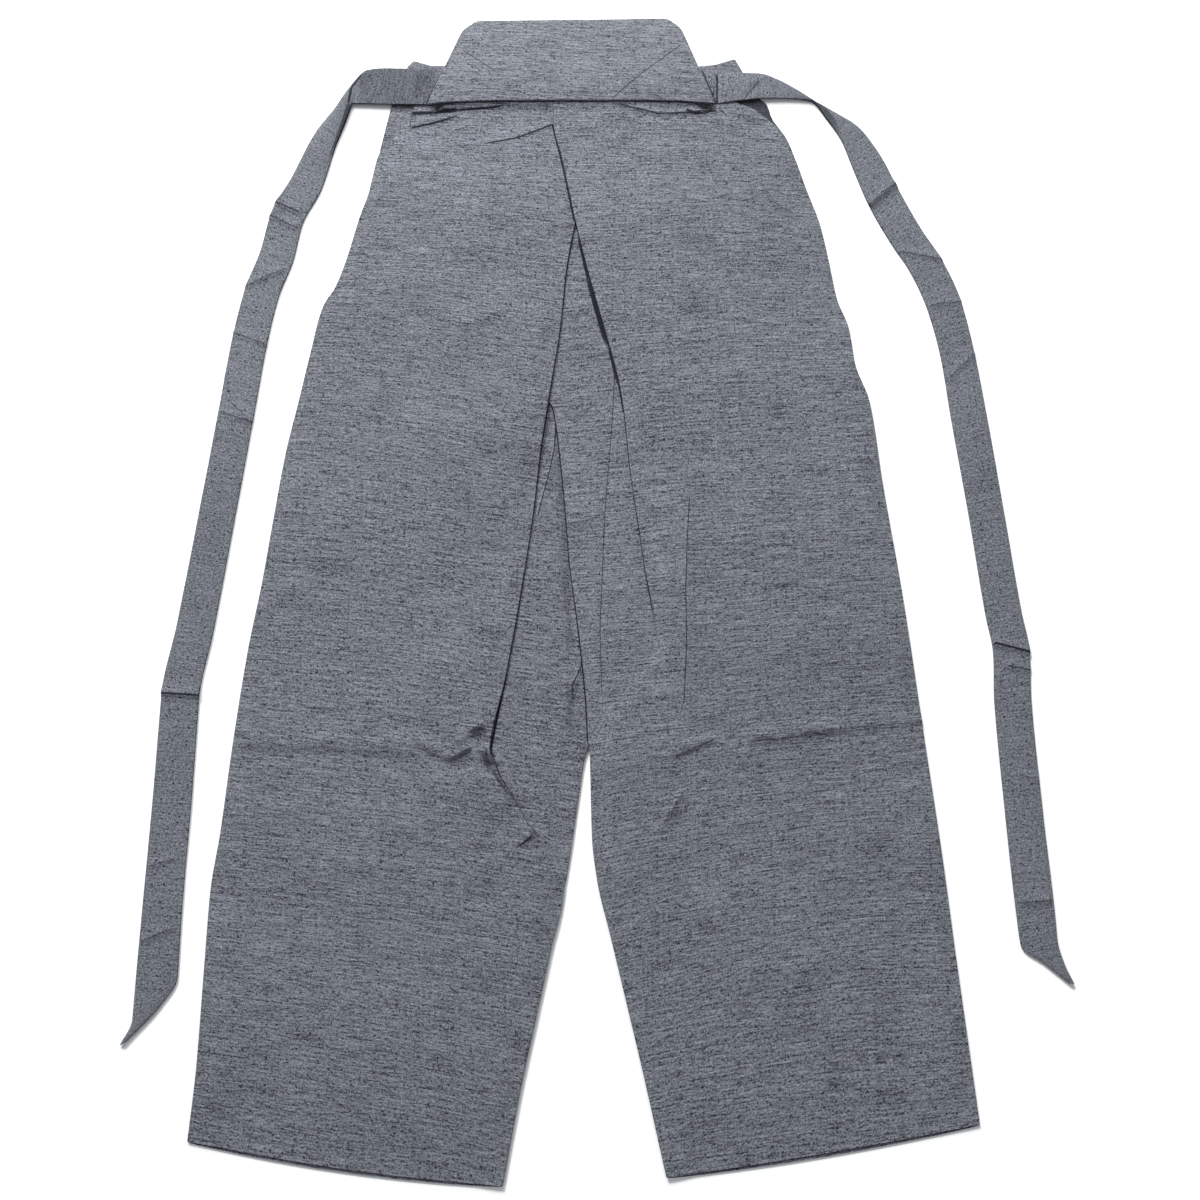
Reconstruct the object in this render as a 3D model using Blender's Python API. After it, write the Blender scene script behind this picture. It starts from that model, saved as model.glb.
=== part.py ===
"""Hakama trousers laid flat with the back side up.

Metres. The waist is toward +Y, the hems toward -Y, and the cloth rests on Z = 0. Every piece of cloth is
a slab with a lower and an upper surface, so that the pieces stack without touching.
"""

import math
from collections import namedtuple

import bpy

MM = 0.001

# Cloth and stacking heights
CLOTH = 1.5 * MM
GAP = 0.3 * MM
LEVEL_1 = 1.8 * MM
LEVEL_2 = 3.6 * MM

# Lengths down the garment, as heights on Y
PANEL_TOP = 428 * MM
FRONT_TOP = 428 * MM
CROTCH = -176 * MM
TILT_START = 0 * MM
HEM_LEFT = -475 * MM
HEM_RIGHT = -463 * MM
HEM_DROP_LEFT = 31 * MM
HEM_DROP_RIGHT = 37 * MM
FRONT_HEM_EXTRA = 2 * MM

CENTRE_FRONT_TOP = -26 * MM

# Stiff back board
BOARD_BOTTOM = 9.0 * MM
BOARD_THICKNESS = 4.0 * MM
BOARD_EDGE = 1.2 * MM
BOARD_CORNER = 15 * MM
BOARD_ARC_STEPS = 5
# The board leans from the waist seam down to the floor
BOARD_HINGE = 420 * MM
BOARD_SLOPE = 0.092

# Front waistband and the folded front ties
BAND_THICKNESS = 2.4 * MM
FOLDED_TIE_BOTTOM = 2.8 * MM
FOLDED_TIE_THICKNESS = 2.4 * MM
FOLDED_TIE_WIDTH = 24 * MM
FOLDED_TIE_MIDDLE = 442 * MM

Edge = namedtuple("Edge", "y x")
Level = namedtuple("Level", "y z")
Zone = namedtuple("Zone", "top bottom steps")
Corner = namedtuple("Corner", "x y")
Fold = namedtuple("Fold", "x0 y0 x1 y1 reach lift")
Section = namedtuple("Section", "x y width angle bottom thickness leaning", defaults=(0,))
Colour = namedtuple("Colour", "red green blue")

# Side edges of the legs, where the front is sewn to the back, in millimetres
SIDE_LEFT = (
    Edge(424, -190), Edge(415, -192), Edge(350, -204), Edge(322, -209), Edge(302, -215), Edge(256, -226),
    Edge(231, -234), Edge(212, -244), Edge(166, -253), Edge(125, -260), Edge(74, -269), Edge(14, -276),
    Edge(-40, -282), Edge(-98, -290), Edge(-186, -298), Edge(-243, -302), Edge(-296, -307),
    Edge(-417, -308), Edge(-475, -311),
)
SIDE_RIGHT = (
    Edge(424, 144), Edge(415, 154), Edge(401, 158), Edge(383, 169), Edge(359, 177), Edge(328, 186),
    Edge(292, 197), Edge(258, 203), Edge(219, 209), Edge(192, 218), Edge(158, 222), Edge(122, 233),
    Edge(51, 240), Edge(-54, 252), Edge(-175, 263), Edge(-263, 271), Edge(-343, 277), Edge(-463, 287),
)
# The back panels leave the side seams at the top, where the garment is open at the hip
BACK_SIDE_LEFT = (Edge(428, -166), Edge(405, -173), Edge(385, -184), Edge(360, -202)) + SIDE_LEFT[2:]
BACK_SIDE_RIGHT = (Edge(428, 110), Edge(417, 124), Edge(410, 140), Edge(400, 152), Edge(383, 168)) + SIDE_RIGHT[4:]

# Inner edges of the legs below the crotch
INNER_LEFT = (Edge(-176, -9), Edge(-215, -16), Edge(-282, -27), Edge(-439, -61), Edge(-506, -73))
INNER_RIGHT = (
    Edge(-176, -9), Edge(-210, -8), Edge(-250, -6), Edge(-282, -2), Edge(-417, 31), Edge(-500, 50),
)
# Free inner edges of the back panels: they cross near the waist and open into a tall inverted V
VENT_LEFT = (
    Edge(428, -3), Edge(295, -22), Edge(245, -30), Edge(190, -35), Edge(126, -44), Edge(76, -51),
    Edge(26, -56), Edge(-62, -68), Edge(-123, -78), Edge(-180, -89), Edge(-202, -80), Edge(-215, -71),
    Edge(-230, -62), Edge(-245, -50), Edge(-285, -28),
) + INNER_LEFT[3:]
VENT_RIGHT = (
    Edge(428, -43), Edge(393, -42), Edge(348, -32), Edge(295, -22), Edge(239, -9), Edge(190, 4),
    Edge(143, 16), Edge(111, 21), Edge(58, 26), Edge(7, 33), Edge(-30, 38), Edge(-86, 47), Edge(-110, 35),
    Edge(-130, 18), Edge(-149, 3), Edge(-200, -1), Edge(-280, -1),
) + INNER_RIGHT[4:]
# Edge of the upper gusset, which runs down to the crotch
GUSSET_EDGE = (
    Edge(305, -38), Edge(190, -50), Edge(128, -48), Edge(115, -40), Edge(104, -38), Edge(65, -33),
    Edge(24, -29), Edge(-24, -25), Edge(-68, -19), Edge(-109, -14), Edge(-137, -11), Edge(-176, -9),
) + INNER_RIGHT[1:]

# Height of each piece's lower surface along its inner edge
LEVEL_LEFT = (
    Level(428, 3.6), Level(350, 3.6), Level(325, 5.4), Level(95, 5.4), Level(45, 3.6), Level(-275, 3.6),
    Level(-302, 1.8), Level(-520, 1.8),
)
LEVEL_RIGHT = (
    Level(428, 5.4), Level(375, 5.4), Level(350, 7.2), Level(285, 7.2), Level(240, 5.4), Level(-105, 5.4),
    Level(-125, 3.6), Level(-182, 3.6), Level(-215, 1.8), Level(-520, 1.8),
)
# How far each gusset runs on under the edge above it; just short of the edge where the two are level
TUCK_RIGHT = (Level(428, 12), Level(-84, 12), Level(-94, -0.6), Level(-520, -0.6))
TUCK_LEFT = (Level(428, 12), Level(-244, 12), Level(-258, -0.6), Level(-520, -0.6))
TUCK_CROTCH = (Level(428, 15), Level(-130, 15), Level(-165, -0.3), Level(-520, -0.3))

ROW_ZONES = (Zone(428, 384, 4), Zone(384, 40, 16), Zone(40, -300, 20), Zone(-300, -476, 6))
GUSSET_RIGHT_SPAN = (305 * MM, -278 * MM)
GUSSET_LEFT_SPAN = (130 * MM, -284 * MM)
SIDE_COLUMNS = 11

# The largest folds, as ridges along a line, in millimetres
FOLDS = (
    Fold(-168, 406, -92, 413, 11, 2.0),
    Fold(24, 414, 104, 412, 12, 1.6),
    Fold(-296, -166, -130, -182, 15, 1.0),
    Fold(-128, -190, -98, -164, 14, 2.2),
    Fold(-88, -188, -56, -240, 13, 1.8),
    Fold(59, -184, 94, -172, 13, 1.6),
    Fold(121, -172, 258, -160, 15, 1.1),
    Fold(76, 36, 70, -96, 12, 1.2),
    Fold(62, -214, 40, -258, 12, 1.2),
    Fold(134, 346, 158, 312, 12, 1.2),
)

BOARD_CORNERS = (Corner(-159, 422), Corner(106, 417), Corner(72, 508), Corner(-122, 505))

# Cross-sections of the ties, from the board outward: middle, width, angle from +X to the inner edge, height.
# A leaning section follows the board's slope
TIE_LEFT = (
    Section(-103, 449, 79, -39, 13.3, 1.4, 1),
    Section(-149, 448.5, 53, -117, 13.3, 1.4, 1),
    Section(-154.5, 438, 42, -115, 9.0, 2.0, 1),
    Section(-166, 436.5, 39, -103, 6.4, 2.2),
    Section(-182, 435, 38, -97, 5.2, 2.2),
    Section(-202, 434, 38, -96, 3.6, 2.2),
    Section(-221, 433, 37, -109, 2.4, 2.6),
    Section(-231, 419, 20, -80, 1.4, 4.6),
    Section(-238, 404, 17, -52, 0.8, 5.0),
    Section(-250, 380, 23, -33, 0.2, 3.6),
    Section(-266, 333, 30, -20, 0.0, 2.4),
    Section(-281, 300, 31, -24, 0.0, 2.4),
    Section(-288, 262, 31, -14, 0.0, 2.4),
    Section(-299, 226, 31, -12, 0.0, 2.4),
    Section(-307, 178, 31, -8, 0.0, 2.2),
    Section(-313, 122, 31, -9, 0.0, 2.2),
    Section(-325, 30, 31, -12, 0.0, 2.2),
    Section(-337, -80, 31, -11, 0.0, 2.2),
    Section(-343, -136, 31, -7, 0.0, 2.4),
    Section(-343, -210, 31, -4, 0.0, 2.2),
    Section(-344, -300, 31, -5, 0.0, 2.2),
    Section(-344, -355, 32, -2, 0.0, 2.2),
    Section(-350, -382, 22, 24, 0.0, 2.6),
    Section(-366, -405, 5, 30, 0.0, 2.8),
)
TIE_RIGHT = (
    Section(43.5, 450, 90, -142, 13.3, 1.4, 1),
    Section(98, 446, 60, -68, 13.3, 1.4, 1),
    Section(104, 436, 42, -72, 9.0, 2.0, 1),
    Section(114, 435, 34, -84, 6.4, 2.2),
    Section(130, 435, 31, -90, 5.2, 2.2),
    Section(147, 435.5, 25, -84, 4.0, 2.4),
    Section(166, 434, 22, -75, 2.6, 2.8),
    Section(181, 429.5, 15, -65, 1.4, 3.6),
    Section(194, 422, 8, -80, 0.4, 4.6),
    Section(213, 403, 12, -133, 0.0, 4.4),
    Section(228, 385, 21, -136, 0.0, 3.2),
    Section(238, 365, 28, -138, 0.0, 2.6),
    Section(246, 346, 31, -143, 0.0, 2.4),
    Section(255, 322, 32, -145, 0.0, 2.4),
    Section(274, 281, 31, -148, 0.0, 2.4),
    Section(289, 254, 31, -160, 0.0, 2.4),
    Section(303, 216, 31, -166, 0.0, 2.4),
    Section(312, 168, 30, -167, 0.0, 2.2),
    Section(318, 110, 31, -169, 0.0, 2.2),
    Section(327, 20, 30, -171, 0.0, 2.2),
    Section(335, -66, 30, -174, 0.0, 2.2),
    Section(339, -98, 30, -176, 0.0, 2.4),
    Section(337, -141, 30, -177, 0.0, 2.2),
    Section(339, -230, 30, -175, 0.0, 2.2),
    Section(342, -310, 30, -174, 0.0, 2.2),
    Section(343, -330, 29, -168, 0.0, 2.2),
    Section(354, -347, 16, -186, 0.0, 2.6),
    Section(366, -361, 4, -190, 0.0, 2.8),
)
TIE_COLUMNS = 3

CLOTH_GREY = Colour(0.19, 0.195, 0.22)
BOARD_GREY = Colour(0.20, 0.205, 0.23)
CLOTH_ROUGHNESS = 0.92


def clear_scene():
    for obj in list(bpy.data.objects):
        bpy.data.objects.remove(obj, do_unlink=True)


def fabric(name, colour):
    material = bpy.data.materials.new(name)
    material.use_nodes = True
    shader = material.node_tree.nodes["Principled BSDF"]
    shader.inputs["Base Color"].default_value = (colour.red, colour.green, colour.blue, 1.0)
    shader.inputs["Roughness"].default_value = CLOTH_ROUGHNESS
    return material


def smooth(share):
    share = min(max(share, 0.0), 1.0)
    return share * share * (3.0 - 2.0 * share)


def along(table, y, column):
    """The table's column at the height y, both in metres, by straight lines between the rows."""
    height = y / MM
    values = [getattr(row, column) for row in table]
    heights = [row.y for row in table]
    if height >= heights[0]:
        return values[0] * MM
    for k in range(len(table) - 1):
        if height >= heights[k + 1]:
            share = (heights[k] - height) / (heights[k] - heights[k + 1])
            return (values[k] + (values[k + 1] - values[k]) * share) * MM
    return values[-1] * MM


def fold_lift(x, y):
    """How far the folds lift the cloth at a point: the highest ridge that reaches it."""
    best = 0.0
    for fold in FOLDS:
        run_x, run_y = (fold.x1 - fold.x0) * MM, (fold.y1 - fold.y0) * MM
        from_x, from_y = x - fold.x0 * MM, y - fold.y0 * MM
        share = (from_x * run_x + from_y * run_y) / (run_x**2 + run_y**2)
        share = min(max(share, 0.0), 1.0)
        away = math.hypot(from_x - share * run_x, from_y - share * run_y) / (fold.reach * MM)
        if away < 1.0:
            best = max(best, fold.lift * MM * (1.0 - away**2) ** 2)
    return best


def row_heights():
    heights = []
    for zone in ROW_ZONES:
        for k in range(zone.steps):
            heights.append((zone.top + (zone.bottom - zone.top) * k / zone.steps) * MM)
    return heights


def slab(name, lower, upper):
    """One closed body between two grids of points, each a list of rows from one edge to the other."""
    rows, columns = len(lower), len(lower[0])
    count = rows * columns
    points = [point for row in lower for point in row] + [point for row in upper for point in row]
    faces = []
    for r in range(rows - 1):
        for c in range(columns - 1):
            a, b = r * columns + c, r * columns + c + 1
            d, e = a + columns, b + columns
            faces.append((a, d, e, b))
            faces.append((a + count, b + count, e + count, d + count))
    ring = [c for c in range(columns)]
    ring += [r * columns + columns - 1 for r in range(1, rows)]
    ring += [(rows - 1) * columns + c for c in range(columns - 2, -1, -1)]
    ring += [r * columns for r in range(rows - 2, 0, -1)]
    for k, a in enumerate(ring):
        b = ring[(k + 1) % len(ring)]
        faces.append((a, b, b + count, a + count))
    mesh = bpy.data.meshes.new(name)
    mesh.from_pydata(points, [], faces)
    mesh.validate()
    obj = bpy.data.objects.new(name, mesh)
    bpy.context.scene.collection.objects.link(obj)
    obj.data.materials.append(fabric(name + "_cloth", BOARD_GREY if name == "back_board" else CLOTH_GREY))
    face_outward(obj)
    return obj


def face_outward(obj):
    """Turns every face round if the body's signed volume says that they point inward."""
    mesh = obj.data
    volume = 0.0
    for polygon in mesh.polygons:
        first = mesh.vertices[polygon.vertices[0]].co
        for k in range(1, len(polygon.vertices) - 1):
            second = mesh.vertices[polygon.vertices[k]].co
            third = mesh.vertices[polygon.vertices[k + 1]].co
            volume += first.dot(second.cross(third))
    if volume < 0.0:
        mesh.flip_normals()


def drop_at(y, drop, hem):
    """How much lower a row ends at the inside of the leg than at its side."""
    return drop * smooth((TILT_START - y) / (TILT_START - hem))


def scaled_rows(hem):
    """Row heights from the waist to a hem."""
    last = ROW_ZONES[-1].bottom * MM
    heights = [PANEL_TOP + (y - PANEL_TOP) * (hem - PANEL_TOP) / (last - PANEL_TOP) for y in row_heights()]
    return heights + [hem]


def leg_rows(side, inner, levels, drop, hem):
    """Grids of a back panel: its lower surface rises from the side seam to the level of the inner edge."""
    lower, upper = [], []
    for y in scaled_rows(hem):
        y_in = y - drop_at(y, drop, hem)
        x_out, x_in = along(side, y, "x"), along(inner, y_in, "x")
        rise = along(levels, y_in, "z") - LEVEL_1
        low_row, high_row = [], []
        for c in range(SIDE_COLUMNS + 1):
            share = c / SIDE_COLUMNS
            x = x_out + (x_in - x_out) * share
            height = y + (y_in - y) * share
            z = LEVEL_1 + rise * smooth(share / 0.55)
            low_row.append((x, height, z))
            high_row.append((x, height, z + CLOTH + fold_lift(x, height)))
        lower.append(low_row)
        upper.append(high_row)
    return lower, upper


def back_panels():
    slab("back_panel_left", *leg_rows(BACK_SIDE_LEFT, VENT_LEFT, LEVEL_LEFT, HEM_DROP_LEFT, HEM_LEFT))
    slab("back_panel_right", *leg_rows(BACK_SIDE_RIGHT, VENT_RIGHT, LEVEL_RIGHT, HEM_DROP_RIGHT, HEM_RIGHT))


def inner_heights(span, drop, hem):
    """The heights at which the rows of a back panel end, within a span, so that a gusset can follow them."""
    heights = [y - drop_at(y, drop, hem) for y in scaled_rows(hem)]
    return [y for y in heights if span[0] >= y >= span[1]]


def gusset(name, heights, left_edge, right_edge, level):
    """A gusset between two edges, each a function of the height; level gives its lower surface."""
    lower, upper = [], []
    for y in heights:
        x_left, x_right = left_edge(y), right_edge(y)
        xs = [x_left + (x_right - x_left) * c / 2 for c in range(3)]
        lower.append([(x, y, level(y)) for x in xs])
        upper.append([(x, y, level(y) + CLOTH) for x in xs])
    slab(name, lower, upper)


def left_gusset_inner(y):
    if y > CROTCH:
        return along(GUSSET_EDGE, y, "x") + along(TUCK_CROTCH, y, "z")
    return along(INNER_LEFT, y, "x")


def gussets():
    gusset(
        "gusset_left",
        inner_heights(GUSSET_LEFT_SPAN, HEM_DROP_LEFT, HEM_LEFT),
        lambda y: along(VENT_LEFT, y, "x") - along(TUCK_LEFT, y, "z"),
        left_gusset_inner,
        lambda y: LEVEL_1,
    )
    gusset(
        "gusset_right",
        inner_heights(GUSSET_RIGHT_SPAN, HEM_DROP_RIGHT, HEM_RIGHT),
        lambda y: along(GUSSET_EDGE, y, "x"),
        lambda y: along(VENT_RIGHT, y, "x") + along(TUCK_RIGHT, y, "z"),
        lambda y: LEVEL_1 + (LEVEL_2 - LEVEL_1) * smooth((y / MM + 215) / 33),
    )


def centre_front(y):
    share = (FRONT_TOP - y) / (FRONT_TOP - CROTCH)
    return CENTRE_FRONT_TOP + (INNER_LEFT[0].x * MM - CENTRE_FRONT_TOP) * share


def front_panel(name, side, inner, away, drop, hem):
    """The front of one leg, flat on the floor. away is -1 on the left and +1 on the right."""
    lower, upper = [], []
    hem = hem - FRONT_HEM_EXTRA
    for y in scaled_rows(hem)[::2] + [hem]:
        y = min(y, FRONT_TOP)
        y_in = y - drop_at(y, drop, hem)
        x_in = centre_front(y) if y_in > CROTCH else along(inner, y_in, "x")
        if y_in > 2 * CROTCH:
            x_in += away * GAP / 2
        xs = [along(side, y, "x") * (1 - c / 2) + x_in * c / 2 for c in range(3)]
        ys = [y * (1 - c / 2) + y_in * c / 2 for c in range(3)]
        lower.append([(x, height, 0.0) for x, height in zip(xs, ys)])
        upper.append([(x, height, CLOTH) for x, height in zip(xs, ys)])
    slab(name, lower, upper)


def rounded_outline(corners, radius, steps):
    """The corners' polygon, with an arc of this radius at the two upper corners."""
    points = []
    for k, corner in enumerate(corners):
        here = (corner.x * MM, corner.y * MM)
        if k < 2:
            points.append(here)
            continue
        before, after = corners[k - 1], corners[(k + 1) % len(corners)]
        to_before = unit(before.x * MM - here[0], before.y * MM - here[1])
        to_after = unit(after.x * MM - here[0], after.y * MM - here[1])
        start = (here[0] + to_before[0] * radius, here[1] + to_before[1] * radius)
        end = (here[0] + to_after[0] * radius, here[1] + to_after[1] * radius)
        for step in range(steps + 1):
            t = step / steps
            points.append(
                tuple((1 - t) ** 2 * start[i] + 2 * t * (1 - t) * here[i] + t**2 * end[i] for i in range(2))
            )
    return points


def unit(x, y):
    length = math.hypot(x, y)
    return x / length, y / length


def inset(points, distance):
    """The outline moved inward by a distance; the outline runs anticlockwise."""
    moved = []
    for k, point in enumerate(points):
        before, after = points[k - 1], points[(k + 1) % len(points)]
        ax, ay = unit(point[0] - before[0], point[1] - before[1])
        bx, by = unit(after[0] - point[0], after[1] - point[1])
        nx, ny = unit(-ay - by, ax + bx)
        reach = distance / max(nx * -ay + ny * ax, 0.5)
        moved.append((point[0] + nx * reach, point[1] + ny * reach))
    return moved


def lean(y):
    """How far the leaning board has come down at a height."""
    return -BOARD_SLOPE * (y - BOARD_HINGE)


def plate(name, outline, bottom, thickness, edge, leaning):
    """A plate with its edges rounded by a chamfer; leaning is 1 for one that follows the board's slope."""
    inner = inset(outline, edge)
    heights = (bottom, bottom + edge, bottom + thickness - edge, bottom + thickness)
    outlines = (inner, outline, outline, inner)
    rings = [
        [(x, y, height + leaning * lean(y)) for x, y in points] for height, points in zip(heights, outlines)
    ]
    count = len(outline)
    faces = [tuple(range(count - 1, -1, -1)), tuple(range(3 * count, 4 * count))]
    for ring in range(3):
        for k in range(count):
            a, b = ring * count + k, ring * count + (k + 1) % count
            faces.append((a, b, b + count, a + count))
    mesh = bpy.data.meshes.new(name)
    mesh.from_pydata([point for ring in rings for point in ring], [], faces)
    obj = bpy.data.objects.new(name, mesh)
    bpy.context.scene.collection.objects.link(obj)
    obj.data.materials.append(fabric(name + "_cloth", BOARD_GREY if name == "back_board" else CLOTH_GREY))
    face_outward(obj)
    return obj


def tie(name, sections):
    """A flat folded strip through its cross-sections."""
    lower, upper = [], []
    for section in sections:
        angle = math.radians(section.angle)
        half = section.width * MM / 2
        low_row, high_row = [], []
        for c in range(TIE_COLUMNS + 1):
            side = 2 * c / TIE_COLUMNS - 1
            x = section.x * MM + side * half * math.cos(angle)
            y = section.y * MM + side * half * math.sin(angle)
            thin = 0.25 * section.thickness * MM * abs(side) ** 4
            bottom = section.bottom * MM + section.leaning * lean(y)
            low_row.append((x, y, bottom))
            high_row.append((x, y, bottom + section.thickness * MM - thin))
        lower.append(low_row)
        upper.append(high_row)
    slab(name, lower, upper)


def waistband():
    """The band along the top of the front; its two corners stand above the back ties."""
    rows = (
        (Corner(-178, 455), Corner(-188, 428.5)),
        (Corner(-173, 461), Corner(-176, 428.5)),
        (Corner(-157, 456), Corner(-158, 428.5)),
        (Corner(-120, 455), Corner(-120, 428.5)),
        (Corner(90, 455), Corner(90, 428.5)),
        (Corner(107, 457), Corner(107, 428.5)),
        (Corner(125, 463), Corner(127, 428.5)),
        (Corner(131, 451), Corner(141, 428.5)),
    )
    lower = [[(p.x * MM, p.y * MM, 0.0) for p in row] for row in rows]
    upper = [[(p.x * MM, p.y * MM, BAND_THICKNESS) for p in row] for row in rows]
    slab("front_waistband", lower, upper)


def folded_tie(name, x_start, x_end):
    """A front tie folded up flat under the board."""
    low, high = FOLDED_TIE_MIDDLE - FOLDED_TIE_WIDTH / 2, FOLDED_TIE_MIDDLE + FOLDED_TIE_WIDTH / 2
    outline = ((x_start, low), (x_end, low), (x_end, high), (x_start, high))
    plate(name, outline, FOLDED_TIE_BOTTOM, FOLDED_TIE_THICKNESS, FOLDED_TIE_THICKNESS / 3, 0)


def build():
    clear_scene()
    outline = rounded_outline(BOARD_CORNERS, BOARD_CORNER, BOARD_ARC_STEPS)
    plate("back_board", outline, BOARD_BOTTOM, BOARD_THICKNESS, BOARD_EDGE, 1)
    tie("back_tie_left", TIE_LEFT)
    tie("back_tie_right", TIE_RIGHT)
    back_panels()
    gussets()
    front_panel("front_panel_left", SIDE_LEFT, INNER_LEFT, -1, HEM_DROP_LEFT, HEM_LEFT)
    front_panel("front_panel_right", SIDE_RIGHT, INNER_RIGHT, 1, HEM_DROP_RIGHT, HEM_RIGHT)
    waistband()
    folded_tie("front_tie_left", -140 * MM, -32 * MM)
    folded_tie("front_tie_right", -20 * MM, 84 * MM)


build()
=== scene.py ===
"""Finished look of hakama trousers laid flat on a table with the back side up.

Metres. The waist is toward +Y, the hems toward -Y and the cloth rests on Z = 0. Tables hold millimetres.
"""

import logging
import math
from dataclasses import dataclass, field
from enum import Enum
from typing import Any, Callable, NamedTuple, Sequence

import bpy
import numpy as np
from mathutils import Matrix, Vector
from mathutils.bvhtree import BVHTree


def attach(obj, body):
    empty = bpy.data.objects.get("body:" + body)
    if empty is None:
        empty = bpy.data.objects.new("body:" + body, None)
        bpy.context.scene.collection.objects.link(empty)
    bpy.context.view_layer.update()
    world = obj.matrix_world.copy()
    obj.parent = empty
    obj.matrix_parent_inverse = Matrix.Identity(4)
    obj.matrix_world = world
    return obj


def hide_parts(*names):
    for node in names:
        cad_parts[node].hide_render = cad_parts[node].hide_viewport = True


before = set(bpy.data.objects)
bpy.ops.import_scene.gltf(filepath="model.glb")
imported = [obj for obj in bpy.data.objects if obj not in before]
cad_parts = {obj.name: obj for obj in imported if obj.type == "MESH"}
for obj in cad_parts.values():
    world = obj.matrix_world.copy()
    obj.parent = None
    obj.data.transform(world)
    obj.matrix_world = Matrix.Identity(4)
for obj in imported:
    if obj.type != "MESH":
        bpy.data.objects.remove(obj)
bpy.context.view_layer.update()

log = logging.getLogger("hakama")

Array = np.ndarray
MM = 0.001

# A crease's painted shadow this wide or wider is painted as soft shade, and a narrower one as a line, in
# millimetres
WIDEST_LINE = 2.0
# How far past its own width a line is measured, in millimetres, and the largest distance kept, in half widths
LINE_REACH = 6.0
FAR_OFF = 12.0
# Faces that meet at more than this keep a sharp edge between them
RIM_ANGLE = math.radians(55.0)
# The back panels' top row, under the board, in millimetres
WAIST = 428
# Where the legs part, and the top of the front panels' layer, in metres
CROTCH = -176 * MM
FRONT_TOP = 1.8 * MM
# One layer of cloth with the air under it
LAYER = 1.8 * MM
# Keeps the front's weave from matching the back's
FRONT_CHART_SHIFT = 0.37
# Rows sag toward the hem from this height down, over this stretch, in metres
SAG_START = -330 * MM
SAG_RUN = 140 * MM


class Zone(NamedTuple):
    """Grid rows from one height down to another, in millimetres, at this spacing."""

    top: float
    bottom: float
    spacing: float


class Crease(NamedTuple):
    """A ridge, or a trough where lift is negative, along a path on the cloth, in millimetres.

    The cloth falls away over gentle on the left of the path and over steep on its right. Shadow is painted
    shade that darkens the crease where its cloth is too close together for light to reach in.
    """

    path: tuple[tuple[float, float], ...]
    lift: float
    gentle: float
    steep: float
    fade_in: float = 8.0
    fade_out: float = 8.0
    shadow: float = 0.0
    shadow_width: float = 1.3


class Line(NamedTuple):
    """A thin line of painted shadow on the cloth, such as along a pressed fold or in the gap beside an edge,
    in millimetres.

    It narrows and pales over fade_in and fade_out at its ends.
    """

    path: tuple[tuple[float, float], ...]
    width: float = 1.0
    painted_line_dark: float = 0.9
    fade_in: float = 6.0
    fade_out: float = 6.0


class Section(NamedTuple):
    """A tie's cross-section: middle, width, angle from +X to the inner edge, lowest point and thickness."""

    x: float
    y: float
    width: float
    angle: float
    bottom: float
    thickness: float


def smooth(share: Array | float) -> Array:
    """Ease from 0 to 1 with flat ends.

    Args:
        share: Where along the ease, clamped to 0..1.

    Returns:
        The eased share.
    """
    held = np.clip(share, 0.0, 1.0)
    return held * held * (3.0 - 2.0 * held)


class Profile:
    """A smooth curve through rows of height and value that never overshoots its rows."""

    def __init__(self, rows: Sequence[tuple[float, float]]) -> None:
        """Fit the curve.

        Args:
            rows: Heights and values in millimetres, from the top down.
        """
        table = np.array(rows, float)[::-1] * MM
        self.heights, self.values = table[:, 0], table[:, 1]
        steps = np.diff(self.heights)
        rises = np.diff(self.values) / steps
        self.slopes = np.concatenate([[rises[0]], np.zeros(len(rises) - 1), [rises[-1]]])
        before, after = rises[:-1], rises[1:]
        same = before * after > 0.0
        first, second = 2 * steps[1:] + steps[:-1], steps[1:] + 2 * steps[:-1]
        with np.errstate(divide="ignore", invalid="ignore"):
            mean = (first + second) / (first / before + second / after)
        self.slopes[1:-1] = np.where(same, mean, 0.0)

    def __call__(self, y: Array | float) -> Array:
        """Read the curve.

        Args:
            y: Heights in metres.

        Returns:
            The values there in metres.
        """
        y = np.clip(y, self.heights[0], self.heights[-1])
        k = np.clip(np.searchsorted(self.heights, y, side="right") - 1, 0, len(self.heights) - 2)
        step = self.heights[k + 1] - self.heights[k]
        t = (y - self.heights[k]) / step
        return (
            (1 + 2 * t) * (1 - t) ** 2 * self.values[k]
            + t * (1 - t) ** 2 * step * self.slopes[k]
            + t * t * (3 - 2 * t) * self.values[k + 1]
            + t * t * (t - 1) * step * self.slopes[k + 1]
        )


class Nearness(NamedTuple):
    """How points lie beside a path: which ones are near it, how far away, on which side and how far along."""

    near: Array
    away: Array
    left: Array
    along: Array
    length: float


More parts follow.
